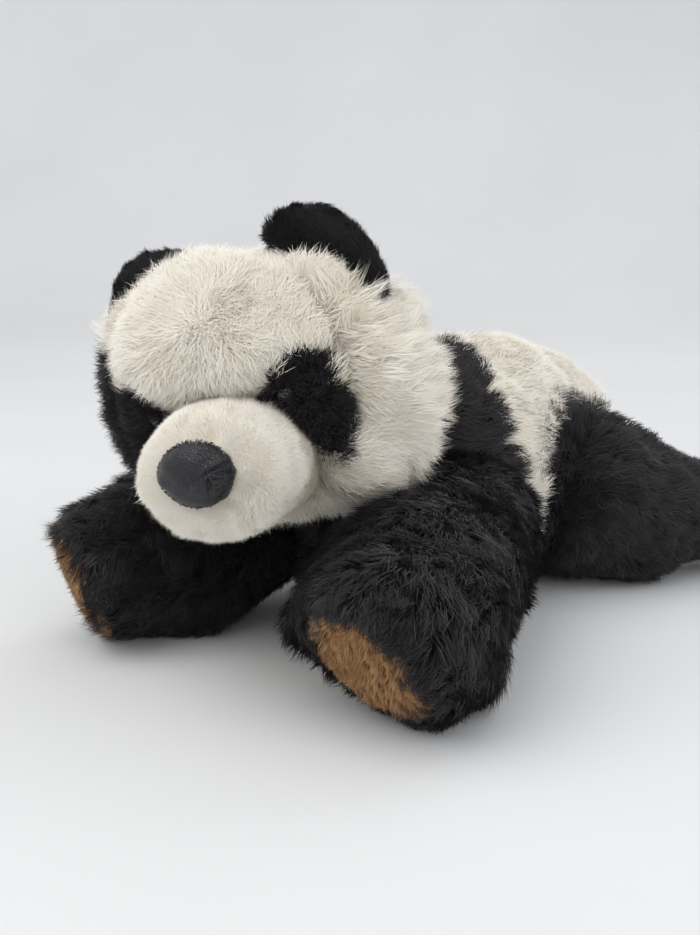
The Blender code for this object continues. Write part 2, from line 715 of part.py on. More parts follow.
def build_tail(looks):
    joint = empty("tail_joint", tail_matrix())
    angles = [math.radians(v) for v in range(0, 360, 30)]
    rows = []
    for along, width, height in TAIL_PROFILE:
        behind = along < 0
        reach = TAIL_ROOT_RADIUS if behind else TAIL_RADII.y
        wide = (TAIL_ROOT_RADIUS if behind else TAIL_RADII.x) * width
        tall = (TAIL_ROOT_RADIUS if behind else TAIL_RADII.z) * height
        rows.append([Vector((wide * math.cos(v), reach * along, tall * math.sin(v))) for v in angles])
    tips = (Vector((0, -TAIL_ROOT_RADIUS, 0)), Vector((0, TAIL_RADII.y, 0)))
    place("tail", face_outward(surface("tail", rows, True, *tips)), looks["cream"], joint)


def build():
    clear_scene()
    looks = {
        "cream": material("cream_plush", CREAM, 0.9),
        "warm_cream": material("muzzle_plush", WARM_CREAM, 0.9),
        "black": material("black_plush", BLACK, 0.9),
        "tan": material("tan_plush", TAN, 0.9),
        "charcoal": material("leatherette", CHARCOAL, 0.45),
        "eye": material("eye_plastic", EYE_BLACK, 0.12),
        "wadding": material("wadding", WADDING, 0.95),
        "nylon": material("nylon", NYLON, 0.4),
    }

    neck_joint = empty("neck_joint", Matrix.Translation(NECK_POINT))
    yaw, roll = math.radians(HEAD_YAW), math.radians(HEAD_ROLL)
    turn = Matrix.Rotation(yaw, 4, "Z") @ Matrix.Rotation(roll, 4, "Y")
    head = empty("head_frame", Matrix.Translation(HEAD_CENTRE - NECK_POINT) @ turn, neck_joint)

    legs = leg_plans()
    cutters = {"shoulders": [], "hips": []}
    cutters["neck"] = ball_cutter("neck_socket", NECK_POINT, NECK_RADIUS + SOCKET_GAP)
    for name, plan in legs.items():
        group = cutters["shoulders" if "foreleg" in name else "hips"]
        group.append(ball_cutter(name + "_socket", plan["root"], plan["root_radius"] + SOCKET_GAP))
        keys = ("root", "spine", "radii", "root_radius", "swing")
        group += swing_guides(name, *(plan[key] for key in keys))
    for side in ("left", "right"):
        cutters[side + "_shank"], cutters[side + "_pocket"] = eye_cutters(side, head)

    build_trunk(looks, cutters)
    build_head(looks, head, cutters)
    build_muzzle(looks, head)
    build_nose(looks, head)
    place("neck_stuffing", ball_mesh("neck_stuffing", NECK_RADIUS), looks["wadding"], neck_joint)

    for side, sign in (("left", 1), ("right", -1)):
        build_eye(side, looks, head)
        build_ear(side, looks, empty(side + "_ear_joint", ear_matrix(side), head))
    for name, plan in legs.items():
        build_leg(name, plan, looks)
    build_tail(looks)


build()
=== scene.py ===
"""Looks of the plush panda: furred skins, padded nose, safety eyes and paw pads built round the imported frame.

Metres, in the row frame: +Z up, the panda faces -Y and its left side is +X. Head parts are made in the
head's own frame and brought into the row frame by HEAD_FRAME. Each skin is a grid of points, and its fur is
a mesh of tapering ribbons that grow from the same grid.
"""

import json
from math import asin, cos, pi, radians, sin, sqrt

import bpy
import numpy as np
from mathutils import Matrix, Vector


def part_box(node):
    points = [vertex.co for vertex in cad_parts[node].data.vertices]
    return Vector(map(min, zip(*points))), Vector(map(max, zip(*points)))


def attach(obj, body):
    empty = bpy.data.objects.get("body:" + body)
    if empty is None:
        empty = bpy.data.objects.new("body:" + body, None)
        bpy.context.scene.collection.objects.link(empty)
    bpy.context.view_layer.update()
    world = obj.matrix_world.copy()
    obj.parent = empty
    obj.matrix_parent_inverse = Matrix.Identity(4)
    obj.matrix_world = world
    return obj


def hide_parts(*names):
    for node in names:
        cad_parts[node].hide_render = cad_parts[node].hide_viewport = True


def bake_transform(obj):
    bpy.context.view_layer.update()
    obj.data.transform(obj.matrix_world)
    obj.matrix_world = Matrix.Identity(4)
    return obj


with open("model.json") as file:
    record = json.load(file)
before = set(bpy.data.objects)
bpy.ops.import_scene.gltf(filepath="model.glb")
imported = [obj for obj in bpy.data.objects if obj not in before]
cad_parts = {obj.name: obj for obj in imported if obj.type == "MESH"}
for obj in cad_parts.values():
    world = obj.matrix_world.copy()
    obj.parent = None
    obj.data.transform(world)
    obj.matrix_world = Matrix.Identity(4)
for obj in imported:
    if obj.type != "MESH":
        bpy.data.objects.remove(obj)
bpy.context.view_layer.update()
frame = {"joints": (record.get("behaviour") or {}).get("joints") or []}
rng = np.random.default_rng(11)
JOINTS = {j["name"]: j for j in frame["joints"]}

BAKE_TEXEL = 1 / 1024  # a strand's patch of the bake chart is a few of these across
FUR_FLOOR = 0.0006  # no strand lies lower than this
SKIN_FLOOR = 0.0012  # and no cloth lower than this
ROOT_SINK = 0.0006  # strands start this far inside the cloth
STRAND_ROLL = 0.22
STRAIGHT_BEND = 1  # a strand that bends less than this many degrees is one triangle
CLUMPS = dict(trunk=8400, neck=1300, head=12500, muzzle=4800, ear=1500, tail=800)

# ---- trunk, as in the CAD ----
TRUNK_MIDDLE_Y = 0.014
TRUNK_HALF_LENGTH = 0.104
TRUNK_HALF_WIDTH = 0.058
TRUNK_HEIGHT = 0.120
TRUNK_FULLNESS = 2.6
TRUNK_CENTRE_SHARE = 0.45
TRUNK_END_LIFT = 0.62
YOKE_EDGE_Y = -0.027  # where black pile gives way to cream low on the flank
HAUNCH_REACH = 0.0510  # how far from a hip its black pile reaches over the trunk
HAUNCH_STRETCH = 1.26  # and how much further towards the chest

# ---- head, in its own frame ----
HEAD_CENTRE = (0.0, -0.130, 0.119)
HEAD_YAW = 14
HEAD_ROLL = -13
HEAD_RADII = np.array((0.067, 0.057, 0.054))
HEAD_FULLNESS = 2.3
FACE_TILT = radians(29)  # the muzzle's axis dips by this
FACE_FORWARD = np.array((0, -cos(FACE_TILT), -sin(FACE_TILT)))
FACE_UPWARD = np.array((0, -sin(FACE_TILT), cos(FACE_TILT)))
MUZZLE_EDGE = 28  # degrees from the muzzle's axis to its seam
MUZZLE_HALF_WIDTH = 0.0268
MUZZLE_HALF_HEIGHT = 0.0219
MUZZLE_DROP = 0.0280
MUZZLE_FRONT = -0.078
NOSE_RADII = np.array((0.0156, 0.0092, 0.0121))
NOSE_DROP = 0.0240
HEAD_INSET = 0.0038  # the fur makes this up
EYE_PHI = 36
EYE_THETA = 37
EYE_RADIUS = 0.0046
EYE_CLEARING = 2.0  # degrees round an eye where no pile is rooted
EYE_SINK = 0.0008
WHORL_PHI, WHORL_THETA = 62.0, 94.0  # where the pile on the forehead parts
WHORL_SIZE = 0.012  # and how wide that spot is
# an eye patch's edge, in degrees sideways and upwards from the muzzle's axis
PATCH_OUTLINE = (
    (19.9, 23.0), (20.8, 32.0), (31.0, 37.4), (41.3, 37.0), (47.4, 31.9), (51.0, 24.0), (53.2, 12.1), (51.6, 2.2),
    (47.9, -4.8), (43.8, -9.2), (37.8, -5.6), (33.0, -2.3), (30.8, 3.8), (29.5, 11.3), (27.5, 14.3), (24.2, 15.5),
)
FAR_PATCH = (62, 10, 22, 33)  # the turned-away patch's middle and half sizes: no cream is seen beyond it

# ---- ears ----
EAR_INNER_WIDTH = 0.0225
EAR_OUTER_WIDTH = 0.0300
EAR_HEIGHT = 0.0108
EAR_ROOT_DEPTH = 0.009
EAR_HALF_THICKNESS = 0.0038
EAR_SINK = 0.0040  # the turned-away ear sits deeper in the crown's pile
EAR_WRAP_IN = 10.0  # how an ear's ends curl down round the head
EAR_WRAP_OUT = 11.0

# ---- legs: wrist reach, radii along the leg, sole radius, sole direction, and how the skin differs from them ----
FORELEG_RADII = ((0.0, 0.0280), (0.35, 0.0270), (0.72, 0.0315), (0.92, 0.0320), (1.0, 0.0285))
RIB_PITCH = 0.0052  # of the ribbed pile on the soles
HIND_RADII = ((0.0, 0.0390), (0.2, 0.0345), (0.42, 0.0255), (0.65, 0.0225), (0.93, 0.0235), (1.0, 0.0215))
FORE = dict(reach=0.035, radii=FORELEG_RADII, pad=0.0245, clumps=4100, sole_clumps=900, pile=0.0105)
HIND = dict(reach=0.045, radii=HIND_RADII, pad=0.0180, clumps=3500, sole_clumps=500, pile=0.0090)
HIND.update(aim=None, inset=0.0030, spread=0.0)
LEGS = {
    "left_foreleg": dict(FORE, joint="left_shoulder", aim=(-9.5, -34), inset=-0.0015, spread=0.0020),
    "right_foreleg": dict(FORE, joint="right_shoulder", aim=(-35, -20), inset=0.0060, spread=0.0060),
    "left_hind_leg": dict(HIND, joint="left_hip"),
    "right_hind_leg": dict(HIND, joint="right_hip"),
}

HEAD_FRAME = (
    Matrix.Translation(HEAD_CENTRE)
    @ Matrix.Rotation(radians(HEAD_YAW), 4, "Z")
    @ Matrix.Rotation(radians(HEAD_ROLL), 4, "Y")
)


# ---- arrays of points ----
def unit(v):
    return v / np.maximum(np.linalg.norm(v, axis=-1, keepdims=True), 1e-12)


def dot(a, b):
    return (a * b).sum(-1, keepdims=True)


def moved(points, matrix):
    m = np.array(matrix)
    return points @ m[:3, :3].T + m[:3, 3]


def turned(vectors, matrix):
    return vectors @ np.array(matrix)[:3, :3].T


def smooth(value, low, high):
    t = np.clip((value - low) / (high - low), 0, 1)
    return t * t * (3 - 2 * t)


def hill(distance, width):
    return np.exp(-((distance / width) ** 2))


def turns(count):
    return np.linspace(0, 2 * pi, count, endpoint=False)


def waves(points, size, seed, count=7):
    """A smooth random field between about -1 and 1 whose lumps are about size metres across."""
    own = np.random.default_rng(seed)
    ways = unit(own.normal(size=(count, 3))) * (2 * pi / size) * own.uniform(0.7, 1.4, (count, 1))
    shifts = own.uniform(0, 2 * pi, count)
    return np.sin(points @ ways.T + shifts).sum(-1) * sqrt(2 / count)


def table(value, pairs):
    """Reads a smooth radius from (place, radius) pairs."""
    places, radii = np.array(pairs).T
    i = np.clip(np.searchsorted(places, value, side="right") - 1, 0, len(places) - 2)
    t = smooth(value, places[i], places[i + 1])
    return radii[i] + (radii[i + 1] - radii[i]) * t


def quads(rows, columns, first=0):
    """Faces of a grid of points that closes on itself sideways."""
    faces = []
    for r in range(rows - 1):
        for c in range(columns):
            a, b, d = first + r * columns, first + (r + 1) * columns, (c + 1) % columns
            faces.append((a + c, a + d, b + d, b + c))
    return faces


class Skin:
    """A closed-round grid of points, rows by columns, with the normals and row directions that fur needs."""

    def __init__(self, grid, inside):
        self.grid = grid
        along = np.gradient(grid, axis=0)
        around = (np.roll(grid, -1, 1) - np.roll(grid, 1, 1)) / 2
        normals = unit(np.cross(around, along))
        outward = np.sign(dot(normals, grid - inside).mean())
        self.normals = normals * outward
        self.along = unit(along)
        self.flip = outward < 0

    def mesh(self, name, start):
        """Quads between the rows, and a fan at each end."""
        rows, columns = self.grid.shape[:2]
        points = [tuple(p) for p in self.grid.reshape(-1, 3)]
        faces = quads(rows, columns)
        for tip, row, backwards in ((start, 0, True), (self.grid[-1].mean(0), rows - 1, False)):
            points.append(tuple(tip))
            middle = len(points) - 1
            for c in range(columns):
                pair = (row * columns + c, row * columns + (c + 1) % columns)
                faces.append((pair[1], pair[0], middle) if backwards else (*pair, middle))
        if self.flip:
            faces = [tuple(reversed(f)) for f in faces]
        made = bpy.data.meshes.new(name)
        made.from_pydata(points, [], faces)
        made.shade_smooth()
        return made

    def scatter(self, count):
        """Random places spread evenly over the surface: points, normals, row directions and grid coordinates."""
        rows, columns = self.grid.shape[:2]
        a, b = self.grid[:-1], np.roll(self.grid, -1, 1)[:-1]
        c = self.grid[1:]
        area = np.linalg.norm(np.cross(b - a, c - a), axis=-1).ravel()
        cell = rng.choice(len(area), count, p=area / area.sum())
        s, t = rng.random(count), rng.random(count)
        r, k = cell // columns, cell % columns

        def read(field):
            near, far = field[r, k], field[r, (k + 1) % columns]
            low, high = field[r + 1, k], field[r + 1, (k + 1) % columns]
            u, v = s[:, None], t[:, None]
            return (near * (1 - v) + far * v) * (1 - u) + (low * (1 - v) + high * v) * u

        place = np.stack(((k + t) / columns, (r + s) / (rows - 1)), -1)
        return read(self.grid), unit(read(self.normals)), unit(read(self.along)), place


# ---- objects ----
def placed(name, data):
    made = bpy.data.objects.new(name, data)
    bpy.context.scene.collection.objects.link(made)
    return made


def link(name, mesh, look):
    made = placed(name, mesh)
    mesh.materials.append(look[0])
    return made


def closed(name, skin, look, start=None):
    """A skin's mesh as a linked object. start is the point that its first row closes on."""
    return link(name, skin.mesh(name, skin.grid[0].mean(0) if start is None else start), look)


def ribbons(name, root, middle, tip, side, normal, width, tone, shade, place, look):
    """All strands as one mesh: a quad from root to middle and a triangle to the tip, or one triangle if straight."""
    count = len(root)
    half = side * width[:, None] / 2
    if middle is None:
        points = np.stack((root - half, root + half, tip), 1)
        order, starts, along = (0, 1, 2), (0,), (0.0, 0.0, 1.0)
        shape = ((-1, 0), (1, 0), (0, 4))
    else:
        points = np.stack((root - half, root + half, middle - half * 0.8, middle + half * 0.8, tip), 1)
        order, starts, along = (0, 1, 3, 2, 2, 3, 4), (0, 4), (0.0, 0.0, 0.5, 0.5, 1.0)
        shape = ((-1, 0), (1, 0), (-1, 2), (1, 2), (0, 4))
    each = points.shape[1]
    points[..., 2] = np.maximum(points[..., 2], FUR_FLOOR)
    strand = np.arange(count)[:, None]
    corners = (strand * each + np.array(order)).ravel()
    firsts = (strand * len(order) + np.array(starts)).ravel()
    mesh = bpy.data.meshes.new(name)
    mesh.vertices.add(count * each)
    mesh.vertices.foreach_set("co", points.astype(np.float32).ravel())
    mesh.loops.add(len(corners))
    mesh.loops.foreach_set("vertex_index", corners.astype(np.int32))
    mesh.polygons.add(len(firsts))
    mesh.polygons.foreach_set("loop_start", firsts.astype(np.int32))
    mesh.update(calc_edges=True)
    mesh.shade_smooth()
    soft = unit(normal + np.cross(side, unit(tip - root)))
    mesh.normals_split_custom_set_from_vertices(np.repeat(soft, each, 0).tolist())
    # shade: how much painted crease shade each strand takes
    fields = {"tone": np.repeat(tone, each), "shade": np.repeat(shade, each), "along": np.tile(along, count)}
    for key, values in fields.items():
        mesh.attributes.new(key, "FLOAT", "POINT").data.foreach_set("value", values.astype(np.float32))
    chart = np.clip(place[:, None] * 0.98 + 0.01 + np.array(shape) * BAKE_TEXEL, 0, 1).reshape(-1, 2)
    layer = mesh.uv_layers.new(name="OFBake")
    layer.uv.foreach_set("vector", chart[corners].astype(np.float32).ravel())
    return link(name, mesh, look)


def grow(name, roots, style, look, shade=None):
    """Fur in clumps. roots holds points, normals, flow, length and place; style says how a clump is shaped."""
    p, n, flow, length, place = roots
    shade = np.zeros(len(p)) if shade is None else shade
    count, each = len(p), style["each"]
    u = unit(flow - dot(flow, n) * n)
    w = np.cross(n, u)
    p, n, u, w = (v[:, None] for v in (p, n, u, w))

    def heading(angle):
        return u * np.cos(angle)[..., None] + w * np.sin(angle)[..., None]

    own_turn = rng.normal(0, style["clump_turn"], (count, 1))
    own_length = (length * rng.uniform(0.82, 1.15, count))[:, None]
    rise, fall = np.radians(style["rise"]), np.radians(style["fall"])

    def curve(start, angle, reach, rise, fall):
        ahead = heading(angle)
        first = n * np.sin(rise)[..., None] + ahead * np.cos(rise)[..., None]
        last = n * np.sin(fall)[..., None] + ahead * np.cos(fall)[..., None]
        middle = start + first * reach[..., None] * 0.5
        return middle, middle + last * reach[..., None] * 0.5

    flat = np.zeros((count, 1))
    clump_middle, clump_tip = curve(p, own_turn, own_length * 1.03, flat + rise, flat + fall)
    radius = style["spread"] * np.sqrt(rng.random((count, each)))
    angle = rng.uniform(0, 2 * pi, (count, each))
    root = p + heading(angle) * radius[..., None] - n * ROOT_SINK
    turn = own_turn + rng.normal(0, style["strand_turn"], (count, each))
    reach = own_length * rng.uniform(0.72, 1.1, (count, each))
    lean = rng.normal(0, radians(style["lean_noise"]), (count, each))
    middle, tip = curve(root, turn, reach, rise + lean, fall + lean)
    offset = root - p
    gather = (style["gather"] * rng.uniform(0.5, 1.0, (count, each)))[..., None]
    middle = middle + (clump_middle + offset * 0.7 - middle) * gather * 0.6
    tip = tip + (clump_tip + offset * 0.2 - tip) * gather
    curl = rng.normal(0, style["curl"], (count, each, 1)) * reach[..., None]
    middle, tip = middle + w * curl, tip - w * curl * 0.7
    axis = unit(tip - root)
    side = unit(np.cross(axis, np.broadcast_to(n, axis.shape)))
    roll = rng.normal(0, STRAND_ROLL, (count, each))[..., None]
    side = side * np.cos(roll) + np.cross(axis, side) * np.sin(roll)
    tone = np.clip(rng.normal(0.5, 0.2, (count, 1)) + rng.normal(0, 0.16, (count, each)), 0, 1)
    width = style["width"] * rng.uniform(0.7, 1.25, (count, each))
    spot = np.repeat(place, each, 0)
    face = n * style["softness"] / (1 - style["softness"]) + 0 * root
    middle = middle if style["fall"] < style["rise"] - STRAIGHT_BEND else None
    flatten = [v if v is None else v.reshape(-1, 3) for v in (root, middle, tip, side, face)]
    # painted shade: each strand's share of its look's crease colour
    painted_crease_shade = np.repeat(np.clip(shade, 0, 1), each)
    return ribbons(name, *flatten, width.ravel(), tone.ravel(), painted_crease_shade, spot, look)


# How a clump is shaped. each: strands; spread and width: metres; rise, fall and lean_noise: degrees from the skin at
# the root, at the tip, and by chance; turns: radians of heading by chance; gather: how far tips meet; curl: sideways
# share of the length; softness: how far a strand is shaded like the skin it stands on.
FIELDS = "each spread width rise fall lean_noise clump_turn strand_turn gather curl softness".split()
LONG, FACE, SOFT, RUFF, PATCH, TUFT, SHORT, RIBBED, NAP = (
    dict(zip(FIELDS, row))
    for row in (
        (16, 0.0030, 0.00044, 52, 16, 10, 0.35, 0.28, 0.55, 0.07, 0.35),
        (28, 0.0036, 0.00027, 46, 16, 12, 0.42, 0.36, 0.36, 0.08, 0.50),
        (16, 0.0034, 0.00038, 47, 14, 13, 0.42, 0.40, 0.26, 0.12, 0.50),
        (36, 0.0048, 0.00034, 54, 26, 10, 0.34, 0.24, 0.60, 0.08, 0.45),
        (15, 0.0024, 0.00044, 74, 52, 14, 0.60, 0.50, 0.45, 0.09, 0.15),
        (26, 0.0036, 0.00036, 60, 40, 9, 0.40, 0.18, 0.82, 0.05, 0.35),
        (40, 0.0030, 0.00032, 44, 44, 13, 0.60, 0.60, 0.22, 0.05, 0.48),
        (14, 0.0019, 0.00042, 62, 34, 10, 0.30, 0.35, 0.60, 0.05, 0.30),
        (30, 0.0026, 0.00038, 42, 42, 13, 0.35, 0.40, 0.30, 0.06, 0.25),
    )
)


def chosen(roots, mask, length):
    """The roots under a mask, with their lengths put in the order that grow reads."""
    return tuple(v[mask] for v in roots[:3]) + (length[mask], roots[3][mask])


def halved(name, roots, mask, length, style, look, body, shade=None):
    """Grows the left and the right half of a coat as two pieces."""
    left = roots[0][:, 0] > 0
    shade = 0 * length if shade is None else shade
    for side, half in (("left_", left), ("right_", ~left)):
        part = mask & half
        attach(grow(side + name, chosen(roots, part, length), style, look, shade[part]), body)


def strand_middle(p, n, flow, length):
    """Roughly where the middle of a strand lies, which is what decides the colour seen there."""
    ahead = unit(flow - dot(flow, n) * n)
    return p + ahead * length[:, None] * 0.45


# ---- materials; a look is a material with the name of its slot ----
def nodes_of(name):
    made = bpy.data.materials.new(name)
    made.use_nodes = True
    tree = made.node_tree
    return made, tree, tree.nodes["Principled BSDF"]


def add(tree, kind, **values):
    node = tree.nodes.new(kind)
    for key, value in values.items():
        if key in node.inputs:
            node.inputs[key].default_value = value
        else:
            setattr(node, key, value)
    return node


def dial(shader, **values):
    """Sets plain values on a shader's own sockets. An underscore stands for a space."""
    for key, value in values.items():
        shader.inputs[key.replace("_", " ")].default_value = value


def mix(tree, factor, a, b):
    """A colour mix. Factor is a socket or a number; a and b are sockets or colours."""
    node = tree.nodes.new("ShaderNodeMix")
    node.data_type = "RGBA"
    for place, value in ((0, factor), (6, a), (7, b)):
        socket = node.inputs[place]
        if isinstance(value, bpy.types.NodeSocket):
            tree.links.new(value, socket)
        else:
            socket.default_value = (*value, 1.0) if isinstance(value, tuple) else value
    return node.outputs[2]


def noise(tree, scale, detail=3.0, roughness=0.55, stretch=(1.0, 1.0, 1.0)):
    coords = tree.nodes.new("ShaderNodeTexCoord").outputs["Object"]
    if stretch != (1.0, 1.0, 1.0):
        mapping = add(tree, "ShaderNodeMapping", Scale=stretch)
        tree.links.new(coords, mapping.inputs["Vector"])
        coords = mapping.outputs["Vector"]
    node = add(tree, "ShaderNodeTexNoise", Scale=scale, Detail=detail, Roughness=roughness)
    tree.links.new(coords, node.inputs["Vector"])
    return node.outputs["Fac"]


def ramp(tree, source, low, high):
    node = add(tree, "ShaderNodeMapRange")
    dial(node, From_Min=low, From_Max=high)
    tree.links.new(source, node.inputs["Value"])
    return node.outputs["Result"]


def rough_between(tree, shader, low, high, scale):
    """Roughness that drifts between two values."""
    node = add(tree, "ShaderNodeMapRange")
    dial(node, To_Min=low, To_Max=high)
    tree.links.new(noise(tree, scale), node.inputs["Value"])
    tree.links.new(node.outputs["Result"], shader.inputs["Roughness"])


def bump(tree, shader, height, strength, distance):
    node = add(tree, "ShaderNodeBump", Strength=strength, Distance=distance)
    tree.links.new(height, node.inputs["Height"])
    tree.links.new(node.outputs["Normal"], shader.inputs["Normal"])


def fur_look(name, slot, root, tip, dark, pale, roughness, sheen, sheen_tint, painted_crease_shade=None):
    """Pile whose colour runs from root to tip, differs from strand to strand, and drifts in soft blotches. Where a
    crease colour is given, strands darken towards it as their shade attribute says: painted shade in creases and
    seams.
    """
    made, tree, shader = nodes_of(name)
    along, tone, shade = (
        add(tree, "ShaderNodeAttribute", attribute_name=key).outputs["Fac"] for key in ("along", "tone", "shade")
    )
    colour = mix(tree, ramp(tree, along, 0.0, 0.8), root, tip)
    blotches = ramp(tree, noise(tree, 42.0), 0.42, 0.66)
    colour = mix(tree, blotches, colour, mix(tree, 0.5, colour, dark))
    colour = mix(tree, ramp(tree, tone, 0.55, 1.15), colour, pale)
    colour = mix(tree, ramp(tree, tone, 0.45, -0.25), colour, dark)
    if painted_crease_shade is not None:  # painted shade: the darker colour in creases and seams
        colour = mix(tree, shade, colour, painted_crease_shade)
    tree.links.new(colour, shader.inputs["Base Color"])
    dial(shader, Roughness=roughness, Specular_IOR_Level=0.3)
    dial(shader, Sheen_Weight=sheen, Sheen_Roughness=0.5, Sheen_Tint=(*sheen_tint, 1.0))
    return made, slot


def backing_look(name, colour, dark):
    """The knitted cloth that the pile grows from."""
    made, tree, shader = nodes_of(name)
    knit = noise(tree, 900.0, 1.0, 0.4, (1.0, 1.0, 0.35))
    soil = noise(tree, 30.0)
    base = mix(tree, ramp(tree, knit, 0.35, 0.65), dark, colour)
    base = mix(tree, ramp(tree, soil, 0.4, 0.7), base, dark)
    tree.links.new(base, shader.inputs["Base Color"])
    bump(tree, shader, knit, 0.5, 0.0004)
    dial(shader, Roughness=0.95)
    return made


def leatherette_look():
    made, tree, shader = nodes_of("leatherette_look")
    coords = tree.nodes.new("ShaderNodeTexCoord").outputs["Object"]
    cells = add(tree, "ShaderNodeTexVoronoi", feature="DISTANCE_TO_EDGE", Scale=900.0)
    tree.links.new(coords, cells.inputs["Vector"])
    grain = ramp(tree, cells.outputs["Distance"], 0.0, 0.12)
    worn = ramp(tree, noise(tree, 160.0, 4.0), 0.42, 0.68)
    base = mix(tree, worn, (0.006, 0.0065, 0.008), (0.017, 0.0185, 0.024))
    base = mix(tree, grain, (0.005, 0.005, 0.0065), base)
    tree.links.new(base, shader.inputs["Base Color"])
    rough_between(tree, shader, 0.30, 0.48, 240.0)
    height = mix(tree, 0.4, grain, noise(tree, 420.0, 5.0))
    bump(tree, shader, height, 0.7, 0.0008)
    return made


def thread_look():
    made, tree, shader = nodes_of("nose_thread_look")
    fibres = ramp(tree, noise(tree, 1500.0), 0.3, 0.7)
    base = mix(tree, fibres, (0.008, 0.008, 0.009), (0.03, 0.03, 0.034))
    tree.links.new(base, shader.inputs["Base Color"])
    dial(shader, Roughness=0.7)
    return made


def eye_look():
    made, tree, shader = nodes_of("eye_look")
    cloudy = ramp(tree, noise(tree, 500.0), 0.35, 0.7)
    base = mix(tree, cloudy, (0.006, 0.004, 0.003), (0.022, 0.012, 0.007))
    tree.links.new(base, shader.inputs["Base Color"])
    rough_between(tree, shader, 0.05, 0.14, 900.0)
    dial(shader, Coat_Weight=0.6)
    return made


# The last colour of each cream is painted shade for its creases and seams.
CREAM = fur_look(
    "cream_fur", "cream_plush", root=(0.86, 0.79, 0.66), tip=(0.92, 0.88, 0.79), dark=(0.80, 0.72, 0.58),
    pale=(0.95, 0.93, 0.88), roughness=0.85, sheen=0.3, sheen_tint=(1, 0.97, 0.9), painted_crease_shade=(0.40, 0.32, 0.20),
)
MUZZLE_CREAM = fur_look(
    "muzzle_fur", "muzzle_plush", root=(0.90, 0.83, 0.71), tip=(0.93, 0.89, 0.80), dark=(0.87, 0.80, 0.68),
    pale=(0.95, 0.92, 0.86), roughness=0.85, sheen=0.25, sheen_tint=(1, 0.97, 0.9), painted_crease_shade=(0.46, 0.37, 0.24),
)
BLACK = fur_look(
    "black_fur", "black_plush", root=(0.004, 0.0035, 0.004), tip=(0.013, 0.012, 0.0135), dark=(0.004, 0.004, 0.0045),
    pale=(0.050, 0.045, 0.046), roughness=0.5, sheen=0.12, sheen_tint=(0.8, 0.75, 0.78),
)
TAN = fur_look(
    "tan_fur", "tan_plush", root=(0.090, 0.036, 0.010), tip=(0.38, 0.20, 0.080), dark=(0.17, 0.070, 0.022),
    pale=(0.56, 0.36, 0.18), roughness=0.7, sheen=0.2, sheen_tint=(1, 0.85, 0.6),
)
CREAM_CLOTH = backing_look("cream_cloth", (0.84, 0.77, 0.64), (0.74, 0.66, 0.52)), "cream_plush"
MUZZLE_CLOTH = CREAM_CLOTH[0], "muzzle_plush"
BLACK_CLOTH = backing_look("black_cloth", (0.012, 0.011, 0.012), (0.006, 0.006, 0.007)), "black_plush"
TAN_CLOTH = backing_look("tan_cloth", (0.24, 0.11, 0.035), (0.16, 0.07, 0.022)), "tan_plush"


# ---- trunk ----
def trunk_points(share, angle):
    room = np.maximum(1 - np.abs(share) ** TRUNK_FULLNESS, 0) ** (1 / TRUNK_FULLNESS)
    widest = TRUNK_CENTRE_SHARE * TRUNK_HEIGHT
    middle = widest * (TRUNK_END_LIFT + (1 - TRUNK_END_LIFT) * room)
    reach = np.where(np.sin(angle) > 0, TRUNK_HEIGHT - widest, widest * 1.06) * room
    x = TRUNK_HALF_WIDTH * room * np.cos(angle)
    y = TRUNK_MIDDLE_Y + TRUNK_HALF_LENGTH * share + 0 * angle
    return np.stack((x, y, middle + reach * np.sin(angle)), -1)


def trunk_skin():
    share = np.sin(np.linspace(-1, 1, 70) * asin(0.998))[:, None]
    angle = turns(90)[None, :]
    grid = trunk_points(share, angle)
    centre = np.array((0, TRUNK_MIDDLE_Y, TRUNK_CENTRE_SHARE * TRUNK_HEIGHT))
    skin = Skin(grid, centre)
    grid = grid + skin.normals * (waves(grid, 0.07, 3) * 0.0014 + waves(grid, 0.028, 4) * 0.0006)[..., None]
    grid[..., 2] = np.maximum(grid[..., 2], SKIN_FLOOR)
    return Skin(grid, centre)


def yoke_edge(z):
    """The seam between black and cream leans back as it climbs."""
    return YOKE_EDGE_Y + 0.009 * smooth(z, 0.050, 0.090) + 0.013 * smooth(z, 0.100, 0.118)


def haunch_distance(points):
    """Distance from the nearer hip, counted as shorter towards the chest, where a thigh bulges forward."""
    near = []
    for name in ("left_hip", "right_hip"):
        away = points - np.array(JOINTS[name]["pos_m"])
        away[..., 1] = np.where(away[..., 1] < 0, away[..., 1] / HAUNCH_STRETCH, away[..., 1])
        near.append(np.linalg.norm(away, axis=-1))
    return np.minimum(*near)


